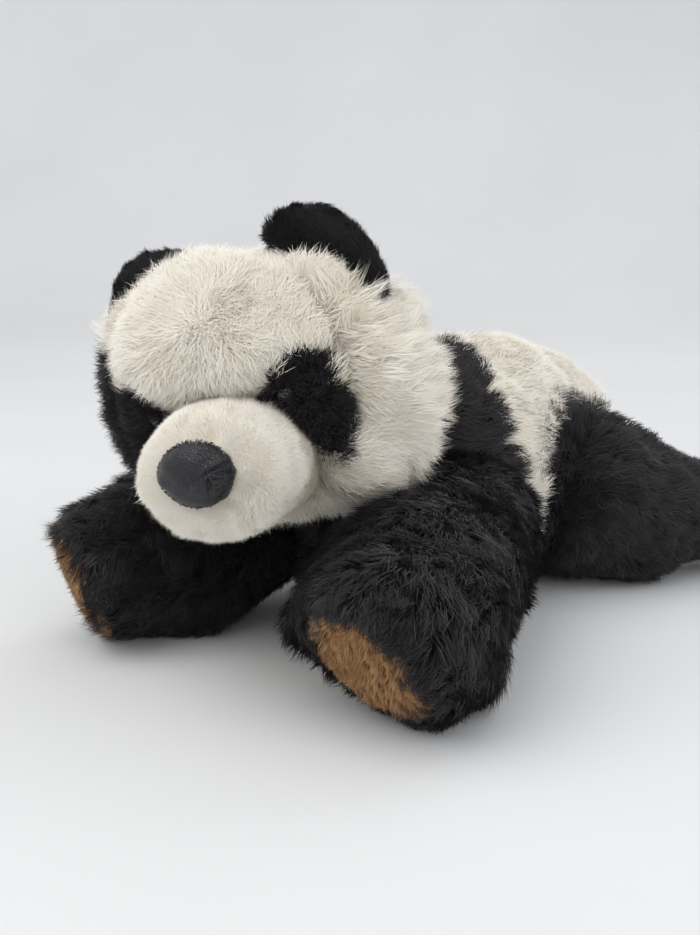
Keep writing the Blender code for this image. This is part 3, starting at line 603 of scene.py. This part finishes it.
def build_trunk():
    skin = trunk_skin()
    body = closed("trunk_cloth", skin, CREAM_CLOTH)
    body.data.materials.append(BLACK_CLOTH[0])
    centres = np.array([f.center for f in body.data.polygons])
    black = (centres[:, 1] < yoke_edge(centres[:, 2])) | (haunch_distance(centres) < HAUNCH_REACH)
    body.data.polygons.foreach_set("material_index", black.astype(np.int32))
    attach(body, "torso")
    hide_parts("back_panel", "belly_panel", "body_stuffing", "rump_panel", "shoulder_yoke")

    p, n, _, place = skin.scatter(CLUMPS["trunk"])
    flow = np.array((0.0, 1.0, -0.25)) + waves(p, 0.06, 9)[:, None] * unit(np.cross(n, (0, 1, 0))) * 0.35
    roots = (p, n, flow, place)
    under = smooth(-n[:, 2], 0.5, 0.95)
    length = (0.0115 + waves(p, 0.05, 10) * 0.0015) * (1 - 0.6 * under)
    seen = strand_middle(p, n, flow, length)
    edge = yoke_edge(seen[:, 2]) + waves(p, 0.03, 12) * 0.003
    haunch_edge = HAUNCH_REACH + waves(p, 0.02, 13) * 0.001
    yoke = seen[:, 1] < edge + rng.normal(0, 0.0008, len(p))
    haunch = ~yoke & (haunch_distance(seen) < haunch_edge)
    cream = ~yoke & ~haunch
    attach(grow("yoke_fur", chosen(roots, yoke, length), LONG, BLACK), "torso")
    hip = np.where(p[:, :1] > 0, JOINTS["left_hip"]["pos_m"], JOINTS["right_hip"]["pos_m"])
    bristle = (p, n, unit(p - hip) + np.array((0, 0.5, 0)), place)
    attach(grow("haunch_fur", chosen(bristle, haunch, length), LONG, BLACK), "torso")
    halved("trunk_fur", roots, cream, length, FACE, CREAM, "torso")


# ---- neck ----
def build_neck():
    pivot = np.array(JOINTS["neck_nod"]["pos_m"])
    lean = np.linspace(-88, 88, 24)[:, None] * pi / 180
    turn = turns(40)[None, :]
    ball = np.stack((np.cos(lean) * np.cos(turn), np.cos(lean) * np.sin(turn), np.sin(lean) + 0 * turn), -1)
    grid = pivot + ball * np.array((0.036, 0.030, 0.030)) + np.array((0, 0.004, -0.004))
    skin = Skin(grid, pivot)
    body = closed("neck_cloth", skin, BLACK_CLOTH)
    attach(body, "neck")
    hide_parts("neck_stuffing")
    p, n, _, place = skin.scatter(CLUMPS["neck"])
    flow = np.broadcast_to(np.array((0.0, 0.6, 0.5)), p.shape)
    fur = grow("neck_fur", (p, n, flow, np.full(len(p), 0.012), place), LONG, BLACK)
    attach(fur, "neck")


# ---- head ----
def head_direction(phi, theta):
    """Unit directions at phi degrees from the muzzle's axis and theta degrees round it, from the left cheek up."""
    p, t = np.radians(phi)[..., None], np.radians(theta)[..., None]
    return FACE_FORWARD * np.cos(p) + (np.array((1, 0, 0)) * np.cos(t) + FACE_UPWARD * np.sin(t)) * np.sin(p)


def face_map(points):
    """Degrees sideways and upwards from the muzzle's axis, for points in the head's frame."""
    d = unit(points)
    phi = np.degrees(np.arccos(np.clip(d @ FACE_FORWARD, -1, 1)))
    theta = np.arctan2(d @ FACE_UPWARD, d[..., 0])
    return phi * np.cos(theta), phi * np.sin(theta), phi


def head_radius(direction):
    total = (np.abs(direction / HEAD_RADII) ** HEAD_FULLNESS).sum(-1)
    return total ** (-1 / HEAD_FULLNESS)


def crease_line(up):
    """How far aside the crease between face and cheek runs, in degrees."""
    return 54 - ((up - 28) / 12) ** 2


def creased(aside, up, width, low, high):
    """1 in that crease, fading over width degrees and towards its two ends."""
    return hill(np.abs(aside) - crease_line(up), width) * smooth(up, low, high) * (1 - smooth(up, 52, 70))


def head_relief(direction):
    """How far the stuffed head swells or pinches from its plain form, in metres."""
    aside, up, phi = face_map(direction)
    crown = hill(np.hypot(aside + 26, up - 68), 40) * 0.0078
    brow = hill(np.hypot(aside / 2.0, up - 42), 12) * 0.0072
    side = np.abs(aside)
    crease = -creased(aside, up, 4.0, -12, 4) * 0.0060
    ears = hill(np.hypot(aside - 52, up - 66), 11) * 0.0022
    near = smooth(aside, -10, 10)
    cheek = hill(np.hypot(side - crease_line(up) - 20, up + 2), 24) * (0.0010 + 0.0014 * near)
    nape = -hill(np.hypot(aside - 86, up - 36), 20) * 0.0050
    flank = -smooth(side, 58, 84) * (0.0026 + 0.0034 * near)
    gorge = -hill(phi - MUZZLE_EDGE - 1, 3.5) * 0.0042
    jowl = hill(np.hypot(side - 38, (up + 24) / 1.3), 11) * 0.0074
    back = -smooth(phi, 78, 112) * 0.0030
    return crown + brow + crease + ears + cheek + nape + flank + jowl + gorge + back - HEAD_INSET


def head_skin():
    phi = np.linspace(MUZZLE_EDGE - 6, 178, 110)[:, None]
    theta = np.linspace(0, 360, 150, endpoint=False)[None, :]
    direction = head_direction(phi + 0 * theta, theta + 0 * phi)
    reach = head_radius(direction) + head_relief(direction)
    grid = direction * reach[..., None]
    grid = grid + direction * (waves(grid, 0.030, 21) * 0.0007)[..., None]
    return Skin(grid, np.zeros(3))


def outline_depth(x, y, outline):
    """Distance to a closed outline, positive inside it."""
    start = np.array(outline)
    edge = np.roll(start, -1, 0) - start
    away = np.stack((x, y), -1)[..., None, :] - start
    share = np.clip((away * edge).sum(-1) / (edge**2).sum(-1), 0, 1)
    gap = np.linalg.norm(away - share[..., None] * edge, axis=-1).min(-1)
    above, below = away[..., 1] >= 0, away[..., 1] < edge[:, 1]
    crossed = (above == below) & (away[..., 0] < away[..., 1] * edge[:, 0] / edge[:, 1])
    return np.where(crossed.sum(-1) % 2 == 1, gap, -gap)


def patch_depth(points):
    """Positive inside the black eye patches, negative outside, in degrees."""
    aside, up, _ = face_map(points)
    x, y, wide, tall = FAR_PATCH
    far = (1 - np.hypot((-aside - x) / wide, (up - y) / tall)) * wide
    return np.maximum(outline_depth(np.abs(aside), up, PATCH_OUTLINE), np.where(aside < 0, far, -wide))


def build_head():
    skin = head_skin()
    head = closed("head_cloth", skin, CREAM_CLOTH)
    mesh = head.data
    mesh.materials.append(BLACK_CLOTH[0])
    centres = np.array([f.center for f in mesh.polygons])
    inside = patch_depth(centres) > 0
    mesh.polygons.foreach_set("material_index", inside.astype(np.int32))
    mesh.transform(HEAD_FRAME)
    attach(head, "head")
    sides = ("left", "right")
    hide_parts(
        "forehead_panel", "chin_panel", "head_back_panel", "head_stuffing",
        *(s + "_cheek_panel" for s in sides), *(s + "_jowl_panel" for s in sides), *(s + "_eye_patch" for s in sides),
    )

    p, n, outward, place = skin.scatter(CLUMPS["head"])
    aside, up, phi = face_map(p)
    back = smooth(phi, 72, 128)[:, None]
    low = smooth(-p[:, 2], 0.0, 0.03)[:, None] * 0.5
    whorl = head_direction(np.array(WHORL_PHI), np.array(WHORL_THETA))
    whorl = whorl * head_radius(whorl)
    dome = (smooth(up, 24, 32) * (1 - smooth(aside, 15, 27)) * (1 - smooth(phi, 84, 110)))[:, None]
    away = p - whorl
    reach = np.linalg.norm(away, axis=1, keepdims=True)
    away = away + np.array((-0.3, 0.5, 0.8)) * WHORL_SIZE * hill(reach, WHORL_SIZE)
    outward = unit(outward) * (1 - dome) + unit(away) * dome
    flow = outward * (1 - back) + np.array((0.0, 0.35, -1.0)) * np.maximum(back, low)
    swirl = waves(p, 0.045, 31)[:, None] * 0.50 + waves(p, 0.016, 32)[:, None] * 0.40
    flow = unit(flow - dot(flow, n) * n)
    flow = flow + np.cross(n, flow) * swirl
    near = smooth(phi, MUZZLE_EDGE, MUZZLE_EDGE + 12)
    side = np.abs(aside)
    cheek = smooth(side, crease_line(up), crease_line(up) + 8) * (1 - smooth(up, 40, 62)) * (phi < 118)
    length = 0.0060 + near * 0.0048 + cheek * 0.0028 - smooth(phi, 96, 120) * 0.0015
    length += hill(np.hypot(side - 52, up - 66), 13) * 0.0014
    # painted shade in the seam round the muzzle, stronger below it, and in the crease between face and cheek
    shade = hill(phi - MUZZLE_EDGE - 1, 4.0) * (0.50 + 0.35 * smooth(-up, 0, 10))
    shade += creased(aside, up, 3.5, -6, 8) * 0.30
    shade *= rng.uniform(0.5, 1.2, len(p))
    length = length + waves(p, 0.03, 34) * 0.0012
    depth = patch_depth(p)
    rising = (hill(depth, 6) * (depth < 0) + (depth >= 0)) * smooth(up, 12, 30) * (1 - smooth(side, 46, 58))
    flow = unit(flow) * (1 - rising[:, None]) + np.array((0, 0.1, 1.0)) * rising[:, None]
    length = length * (1 - 0.30 * hill(depth, 7) * (depth < 0))
    seen = strand_middle(p, n, flow, length)
    fray = 0.25 + 1.2 * smooth(side, 46, 56) * smooth(up, 8, 20)
    depth = patch_depth(seen) + waves(p, 0.012, 33) * 0.7 + rng.normal(0, fray, len(p))
    black = depth > -0.7
    length = np.where(black, 0.0056 + near * 0.001 + 0.0042 * smooth(-aside, 48, 62), length)
    eye_up, eye_aside = (EYE_PHI * f(radians(EYE_THETA)) for f in (sin, cos))
    keep = (phi > MUZZLE_EDGE - 1) & (np.hypot(side - eye_aside, up - eye_up) > EYE_CLEARING)
    n, flow, p = turned(n, HEAD_FRAME), turned(flow, HEAD_FRAME), moved(p, HEAD_FRAME)
    roots = (p, n, flow, place)
    ruff = keep & ~black & (cheek > 0.5)
    plain = keep & ~black & ~ruff
    tuft = ruff & (rng.random(len(p)) < 0.20) & (phi > 62)
    for name, mask, style in (
        ("face_fur", plain & (phi < 78), FACE),
        ("crown_fur", plain & (phi >= 78), SOFT),
        ("cheek_fur", ruff & ~tuft & (phi < 84), RUFF),
        ("cheek_back_fur", ruff & ~tuft & (phi >= 84), RUFF),
    ):
        halved(name, roots, mask, length, style, CREAM, "head", shade)
    halved("cheek_tufts", roots, tuft, length + 0.0055, TUFT, CREAM, "head")
    halved("eye_patch_fur", roots, keep & black, length, PATCH, BLACK, "head")


# ---- muzzle ----
def muzzle_skin():
    """A plump barrel from the seam on the face to a shoulder, then a blunt dome."""
    theta = np.linspace(0, 360, 96, endpoint=False)
    base = head_direction(np.full(96, float(MUZZLE_EDGE)), theta)
    base = base * head_radius(base)[:, None]
    t = np.radians(theta)
    across, upward = MUZZLE_HALF_WIDTH * np.cos(t), MUZZLE_HALF_HEIGHT * np.sin(t) - MUZZLE_DROP
    front = np.stack((across, np.full(96, MUZZLE_FRONT), upward), -1)

    def swollen(ring, share):
        axis = np.array((0, 0, -MUZZLE_DROP)) + 0 * ring
        axis[:, 1] = ring[:, 1]
        return axis + (ring - axis) * share

    rows = []
    for a in np.linspace(-0.25, 0.72, 18):
        rows.append(swollen(base + (front - base) * a, 1 + 0.035 * sin(pi * max(a, 0))))
    shoulder = rows[-1]
    depth = MUZZLE_FRONT - shoulder[:, 1].mean()
    for lean in np.radians(np.linspace(6, 84, 16)):
        ring = swollen(shoulder, cos(lean) ** 0.62)
        ring[:, 1] = shoulder[:, 1] + depth * sin(lean)
        rows.append(ring)
    return Skin(np.array(rows), np.array((0, -0.06, -MUZZLE_DROP)))


def build_muzzle():
    skin = muzzle_skin()
    muzzle = closed("muzzle_cloth", skin, MUZZLE_CLOTH)
    muzzle.data.transform(HEAD_FRAME)
    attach(muzzle, "head")
    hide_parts("muzzle_cover", "muzzle_stuffing")
    p, n, _, place = skin.scatter(CLUMPS["muzzle"])
    nose = np.array((0, MUZZLE_FRONT, -NOSE_DROP))
    flow = unit(p - nose)
    aside = np.hypot((p[:, 0] - nose[0]) / NOSE_RADII[0], (p[:, 2] - nose[2]) / NOSE_RADII[2])
    free = (aside > 0.97) | (p[:, 1] > MUZZLE_FRONT + 0.012)
    length = 0.0036 + waves(p, 0.012, 41) * 0.0005 - 0.0008 * (1 - smooth(aside, 1.0, 1.5))
    roots = (moved(p, HEAD_FRAME), turned(n, HEAD_FRAME), turned(flow, HEAD_FRAME), place)
    # painted shade towards the back of the muzzle, along its seam with the face
    painted_crease_shade = smooth(p[:, 1], -0.056, -0.048) * 0.60
    halved("muzzle_fur", roots, free, length, SHORT, MUZZLE_CREAM, "head", painted_crease_shade)


# ---- nose ----
def nose_point(lean, turn):
    """A point of the plain nose: lean from its rim to its front, turn round it. It narrows towards the mouth."""
    c, s = np.cos(lean), np.sin(lean)
    narrow = 1 - 0.12 * np.maximum(-np.sin(turn), 0)
    x = NOSE_RADII[0] * c * np.cos(turn) * narrow
    z = NOSE_RADII[2] * c * np.sin(turn)
    return np.stack((x, -NOSE_RADII[1] * s + 0 * turn, z), -1)


def build_nose():
    lean = np.linspace(-0.35, pi / 2 - 0.02, 70)[:, None]
    turn = turns(160)[None, :]
    flat = nose_point(np.maximum(lean, 0), turn)
    flat[..., 1] -= np.minimum(lean, 0) * 0.006  # the rim is tucked in behind the seam
    gather = np.array((0.0085, 0.0, 0.0005))  # where the cloth is pulled into folds
    away = flat - gather
    spoke = np.arctan2(away[..., 2], away[..., 0])
    reach = np.hypot(away[..., 0], away[..., 2])
    folds = np.sin(spoke * 7 + waves(flat, 0.007, 51) * 1.6) * hill(reach, 0.0075) * smooth(reach, 0.0006, 0.003)
    folds *= smooth(-away[..., 2] + away[..., 0] * 0.3, -0.003, 0.003)
    slit = hill(away[..., 2] - away[..., 0] * 0.35, 0.0008) * smooth(away[..., 0], -0.004, 0.0) * hill(reach, 0.008)
    puckers = np.sin(turn * 31 + waves(flat, 0.008, 52) * 2) * hill(lean - 0.1, 0.28)
    swell = folds * 0.00070 - slit * 0.0011 + puckers * 0.00018 + waves(flat, 0.009, 53) * 0.00022
    skin = Skin(flat, np.array((0, 0.02, 0)))
    grid = flat + skin.normals * swell[..., None]
    grid = grid + np.array((0, MUZZLE_FRONT - 0.0006, -NOSE_DROP))
    skin = Skin(grid, np.array((0, MUZZLE_FRONT + 0.02, -NOSE_DROP)))
    nose = closed("nose_cloth", skin, (leatherette_look(), "leatherette"))
    nose.data.transform(HEAD_FRAME)
    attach(nose, "head")
    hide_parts("nose_cover", "nose_padding")
    build_nose_stitches()


THREAD_SIDES = 6
THREAD_RADIUS = 0.00034
THREAD_TAPER = 0.45
STITCHES = 88
STITCH_REACH = 0.0014


def tube(path):
    """Rings of a thin round thread along a path of points."""
    path = np.array(path)
    along = unit(np.gradient(path, axis=0))
    side = unit(np.cross(along, np.array((0.31, 0.55, 0.78))))
    other = np.cross(along, side)
    turn = turns(THREAD_SIDES)[None, :, None]
    radius = THREAD_RADIUS * np.array([THREAD_TAPER] + [1.0] * (len(path) - 2) + [THREAD_TAPER])[:, None, None]
    return path[:, None] + (side[:, None] * np.cos(turn) + other[:, None] * np.sin(turn)) * radius


def joined(name, grids):
    """One mesh from many closed tubes."""
    points, faces = [], []
    for grid in grids:
        first, (rows, columns) = len(points), grid.shape[:2]
        points += [tuple(p) for p in grid.reshape(-1, 3)]
        faces += quads(rows, columns, first)
        faces.append(tuple(first + c for c in reversed(range(columns))))
        faces.append(tuple(first + (rows - 1) * columns + c for c in range(columns)))
    mesh = bpy.data.meshes.new(name)
    mesh.from_pydata(points, [], faces)
    mesh.shade_smooth()
    return mesh


def build_nose_stitches():
    """Black overcast stitches round the nose, uneven in reach and lean."""
    own = np.random.default_rng(5)
    grids = []
    for i in range(STITCHES):
        turn = 2 * pi * (i + own.uniform(-0.4, 0.4)) / STITCHES
        lean = own.uniform(-0.35, 0.35)
        last = 0.0004 + own.uniform(-0.0002, 0.0004)
        path = []
        for step, rise in ((-STITCH_REACH, 0.0), (-0.0009, 0.0006), (-0.0001, 0.0008), (last, 0.0002)):
            angle = turn + lean * step / STITCH_REACH * 0.35
            rim = nose_point(np.array(0.12), np.array(angle))
            outward = unit(np.array((rim[0], 0, rim[2])))
            point = rim + outward * step * 1.1 + np.array((0, -rise, 0))
            path.append(point + np.array((0, MUZZLE_FRONT - 0.0008, -NOSE_DROP)))
        grids.append(tube(path))
    mesh = joined("nose_stitches", grids)
    stitches = link("nose_stitches", mesh, (thread_look(), "leatherette"))
    mesh.transform(HEAD_FRAME)
    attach(stitches, "head")


# ---- eyes ----
def eye_matrix(side):
    """On the head's skin with its Z along the skin's normal."""
    theta = EYE_THETA if side == "left" else 180 - EYE_THETA

    def skin(phi, turn):
        d = head_direction(np.array(float(phi)), np.array(float(turn)))
        return Vector(d * (head_radius(d) + head_relief(d)))

    across = skin(EYE_PHI, theta + 4) - skin(EYE_PHI, theta - 4)
    along = skin(EYE_PHI + 4, theta) - skin(EYE_PHI - 4, theta)
    normal = along.normalized().cross(across.normalized()).normalized()
    point = skin(EYE_PHI, theta)
    normal = normal if normal.dot(point) > 0 else -normal
    facing = normal.to_track_quat("Z", "Y").to_matrix().to_4x4()
    return HEAD_FRAME @ Matrix.Translation(point - normal * EYE_SINK) @ facing


def build_eye(side, look):
    """A domed plastic eye with its flange, shank and lock washer, turned about its own Z."""
    profile = [(0.0004, 0.0036)]
    profile += [(EYE_RADIUS * sin(a), 0.0002 + 0.0034 * cos(a)) for a in np.linspace(0.12, pi / 2, 14)]
    profile += [(EYE_RADIUS, -0.0002), (EYE_RADIUS - 0.0004, -0.0006), (0.0017, -0.0008), (0.0016, -0.0070)]
    profile += [(0.0048, -0.0072), (0.0048, -0.0082), (0.0016, -0.0084), (0.0015, -0.0110), (0.0004, -0.0114)]
    grid = np.array([[(r * cos(t), r * sin(t), z) for t in turns(48)] for r, z in profile])
    eye = closed(side + "_eye_button", Skin(grid, np.array((0, 0, -0.002))), (look, "eye_plastic"))
    eye.data.transform(eye_matrix(side))
    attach(eye, "head")
    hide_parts(side + "_eye", side + "_eye_washer")


# ---- ears ----
def ear_matrix(side):
    """The ear's root line lies along its joint's axis."""
    joint = JOINTS[side + "_ear_fold"]
    across = Vector(joint["axis"]).normalized()
    back = (HEAD_FRAME.to_3x3() @ Vector((0, 1, 0))).normalized()
    upward = across.cross(back).normalized()
    turn = Matrix((across, back, upward)).transposed().to_4x4()
    return Matrix.Translation(Vector(joint["pos_m"])) @ turn


def build_ear(side):
    sign = 1 if side == "left" else -1
    lean = np.linspace(-88, 88, 34)[:, None] * pi / 180
    turn = turns(56)[None, :]
    x = np.cos(lean) * np.cos(turn)
    x = x * np.where(x * sign > 0, EAR_OUTER_WIDTH, EAR_INNER_WIDTH)
    y = np.cos(lean) * np.sin(turn) * EAR_HALF_THICKNESS
    up = np.sin(lean) + 0 * turn
    z = np.where(up > 0, up * EAR_HEIGHT, up * EAR_ROOT_DEPTH)
    cup = -0.0022 * np.maximum(up, 0) * (1 - (x / EAR_OUTER_WIDTH) ** 2)  # the front is a little hollow
    y = np.where(np.sin(turn) < 0, y - cup * 0.6, y)
    z = z - np.where(x * sign > 0, EAR_WRAP_OUT, EAR_WRAP_IN) * x * x
    z = z - (EAR_SINK if side == "right" else 0.0)
    grid = moved(np.stack((x, y, z), -1), ear_matrix(side))
    centre = grid.mean((0, 1))
    skin = Skin(grid, centre)
    grid = grid + skin.normals * (waves(grid, 0.02, 61) * 0.0005)[..., None]
    skin = Skin(grid, centre)
    name = side + "_ear"
    body = closed(name + "_cloth", skin, BLACK_CLOTH)
    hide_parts(name + "_front", name + "_back")
    p, n, along, place = skin.scatter(CLUMPS["ear"])
    flow = along + waves(p, 0.02, 62)[:, None] * np.cross(n, along) * 0.5
    length = 0.0038 + waves(p, 0.02, 63) * 0.0004
    fur = grow(name + "_fur", (p, n, flow, length, place), NAP, BLACK)
    for piece in (body, fur):
        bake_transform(piece)


# ---- legs ----
def leg_plan(name):
    """A leg's joint, the middle of its sole, the way its sole faces, and its sizes."""
    leg = LEGS[name]
    low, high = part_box(name + "_pad")
    end = np.array((low + high) / 2)
    root = np.array(JOINTS[leg["joint"]]["pos_m"])
    if leg["aim"]:
        a, e = (radians(v) for v in leg["aim"])
        toes = np.array((sin(a) * cos(e), -cos(a) * cos(e), sin(e)))
    else:
        toes = unit((end - root) * np.array((1, 1, 0)))
    return root, end, toes, leg


LEG_MIDDLE = 0.42  # where along a leg its skin spreads most


def leg_spine(root, end, toes, reach, share):
    bend = end - toes * reach
    one, two = root + (bend - root) * share, bend + (end - bend) * share
    return one + (two - one) * share, unit(two - one)


def leg_skin(name):
    root, end, toes, leg = leg_plan(name)
    turn = turns(60)[:, None]
    rows = []

    def ring(centre, forward, radius):
        side = unit(np.cross(forward, np.array((0, 0, 1.0))))
        upward = np.cross(side, forward)
        return centre + (side * np.cos(turn) + upward * np.sin(turn)) * radius

    sag = 0.60 if leg["aim"] else 0.0  # forelegs spread where they lie on the floor
    first, forward = leg_spine(root, end, toes, leg["reach"], 0.0)
    radius = leg["radii"][0][1]
    for a in np.radians(np.linspace(8, 82, 9)):
        rows.append(ring(first - forward * radius * cos(a), forward, radius * sin(a)))
    for share in np.linspace(0, 1, 44):
        centre, ahead = leg_spine(root, end, toes, leg["reach"], share)
        radius = table(share, leg["radii"]) - leg["inset"] * smooth(share, 0.1, 0.5)
        radius += leg["spread"] * hill(share - LEG_MIDDLE, 0.26)
        around = ring(centre, ahead, radius)
        below = np.minimum(around[:, 2] - centre[2], 0)
        around[:, 2] += below * sag * hill(share - LEG_MIDDLE, 0.36)
        rows.append(around)
    last = leg["radii"][-1][1] - leg["inset"]
    for s in (0.5, 1.0):
        rows.append(ring(end + toes * 0.0012 * s, toes, last + (min(leg["pad"], last) - last) * s))
    grid = np.array(rows)
    skin = Skin(grid, grid.mean(1, keepdims=True))
    lumps = waves(grid, 0.05, len(name) + ord(name[0])) * 0.0013 + waves(grid, 0.022, 71) * 0.0006
    fade = np.ones(len(rows))
    fade[-3:] = 0.3
    grid = grid + skin.normals * (lumps * fade[:, None])[..., None]
    grid[..., 2] = np.maximum(grid[..., 2], SKIN_FLOOR)
    return Skin(grid, grid.mean(1, keepdims=True)), root, end, toes, leg


def build_leg(name):
    skin, root, end, toes, leg = leg_skin(name)
    body = closed(name + "_cloth", skin, BLACK_CLOTH)
    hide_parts(name + "_cover", name + "_stuffing")
    p, n, along, place = skin.scatter(leg["clumps"])
    swirl = waves(p, 0.05, 72 + ord(name[0]))[:, None] * 0.45 + waves(p, 0.018, 73)[:, None] * 0.35
    flow = along + np.array((0, 0, -0.35))
    flow = flow + np.cross(n, along) * swirl
    length = leg["pile"] + waves(p, 0.04, 74) * 0.0014
    under = smooth(-n[:, 2], 0.5, 0.95)
    length = length * (1 - 0.30 * under)
    fur = grow(name + "_fur", (p, n, flow, length, place), LONG, BLACK)
    for piece in (body, fur):
        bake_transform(piece)
    build_pad(name, end, toes, leg["pad"] * 0.99, leg["sole_clumps"])


def build_pad(name, end, toes, radius, clumps):
    """A domed tan sole with short pile lying in ribs."""
    side = unit(np.cross(toes, np.array((0, 0, 1.0))))
    upward = np.cross(side, toes)
    turn = turns(60)[:, None]
    rows = []
    for s in np.linspace(1.0, 0.03, 16):
        lift = 0.0046 * sqrt(max(1 - s**2.4, 0))
        rows.append(end + (side * np.cos(turn) + upward * np.sin(turn)) * radius * s + toes * lift)
    grid = np.array(rows)
    grid[..., 2] = np.maximum(grid[..., 2], SKIN_FLOOR)
    skin = Skin(grid, end - toes * 0.03)
    body = closed(name + "_sole_cloth", skin, TAN_CLOTH, end - toes * 0.001)
    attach(body, name)
    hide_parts(name + "_pad")
    p, n, _, place = skin.scatter(clumps)
    across = (p - end) @ side
    phase = across / RIB_PITCH * 2 * pi + waves(p, 0.02, 81) * 0.8
    ribs = np.cos(phase)
    flow = -upward - side * np.sin(phase)[:, None] * 0.8 + waves(p, 0.012, 82)[:, None] * side * 0.3
    length = 0.0056 + ribs * 0.0016
    fur = grow(name + "_sole_fur", (p, n, flow, length, place), RIBBED, TAN)
    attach(fur, name)


# ---- tail ----
def build_tail():
    pivot = np.array(JOINTS["tail_flap"]["pos_m"])
    lean = np.linspace(-86, 86, 22)[:, None] * pi / 180
    turn = turns(40)[None, :]
    c, y = np.cos(lean), np.sin(lean) + 0 * turn
    grid = pivot + np.stack((c * np.cos(turn) * 0.0135, y * 0.0175 + 0.002, c * np.sin(turn) * 0.0105), -1)
    skin = Skin(grid, grid.mean((0, 1)))
    body = closed("tail_cloth", skin, CREAM_CLOTH)
    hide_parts("tail")
    p, n, _, place = skin.scatter(CLUMPS["tail"])
    flow = np.broadcast_to(np.array((0, 1.0, -0.4)), p.shape)
    fur = grow("tail_fur", (p, n, flow, np.full(len(p), 0.0085), place), LONG, CREAM)
    for piece in (body, fur):
        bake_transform(piece)


# ---- camera, lights, floor ----
CAMERA_AZIMUTH = 36
CAMERA_DIP = 12
CAMERA_PLACE = (0.334, -0.539, 0.194)


def build_camera():
    data = bpy.data.cameras.new("camera")
    data.lens, data.sensor_width, data.sensor_fit = 50, 36, "AUTO"
    camera = placed("camera", data)
    a, e = radians(CAMERA_AZIMUTH), radians(CAMERA_DIP)
    aim = Vector((-sin(a) * cos(e), cos(a) * cos(e), -sin(e)))
    camera.location = CAMERA_PLACE
    camera.rotation_euler = aim.to_track_quat("-Z", "Y").to_euler()
    bpy.context.scene.camera = camera


def area_light(name, place, target, size, power, colour=(1, 1, 1)):
    data = bpy.data.lights.new(name, "AREA")
    data.shape, data.size, data.energy, data.color = "DISK", size, power, colour
    made = placed(name, data)
    made.location = place
    made.rotation_euler = (Vector(target) - Vector(place)).to_track_quat("-Z", "Y").to_euler()


def build_stage():
    world = bpy.data.worlds.new("studio")
    bpy.context.scene.world = world
    world.use_nodes = True
    background = world.node_tree.nodes["Background"]
    background.inputs["Color"].default_value = (0.93, 0.95, 1.0, 1)
    background.inputs["Strength"].default_value = 0.80
    bpy.context.scene.view_settings.view_transform = "Standard"
    target = (0, -0.03, 0.06)
    area_light("key", (-0.30, -0.95, 1.30), target, 1.8, 12, (1, 0.985, 0.96))
    area_light("fill", (1.3, -0.5, 0.7), target, 1.4, 4, (0.96, 0.98, 1))
    area_light("back", (0.2, 1.2, 1.1), target, 1.2, 3)

    floor_look, tree, shader = nodes_of("floor_look")
    clouds = ramp(tree, noise(tree, 3.0), 0.3, 0.7)
    base = mix(tree, clouds, (0.74, 0.74, 0.73), (0.78, 0.78, 0.77))
    tree.links.new(base, shader.inputs["Base Color"])
    dial(shader, Roughness=0.9)
    size, back, bend, height = 4.0, 1.2, 0.8, 3.0  # a floor that curves up into a wall behind the toy
    profile = [(-size, 0.0), (back, 0.0)]
    profile += [(back + bend * sin(a), bend * (1 - cos(a))) for a in np.linspace(0.1, pi / 2, 14)]
    profile += [(back + bend, height)]
    points = [(x, y, z) for y, z in profile for x in (-size, size)]
    turn = Matrix.Rotation(radians(CAMERA_AZIMUTH), 4, "Z")
    points = [turn @ Vector(p) for p in points]
    faces = [(2 * i, 2 * i + 1, 2 * i + 3, 2 * i + 2) for i in range(len(profile) - 1)]
    mesh = bpy.data.meshes.new("floor")
    mesh.from_pydata([tuple(p) for p in points], [], faces)
    mesh.shade_smooth()
    mesh.materials.append(floor_look)
    placed("floor", mesh)


build_camera()
build_stage()
build_trunk()
build_neck()
build_head()
build_muzzle()
build_nose()
eye_plastic = eye_look()
for side in ("left", "right"):
    build_eye(side, eye_plastic)
    build_ear(side)
for name in LEGS:
    build_leg(name)
build_tail()
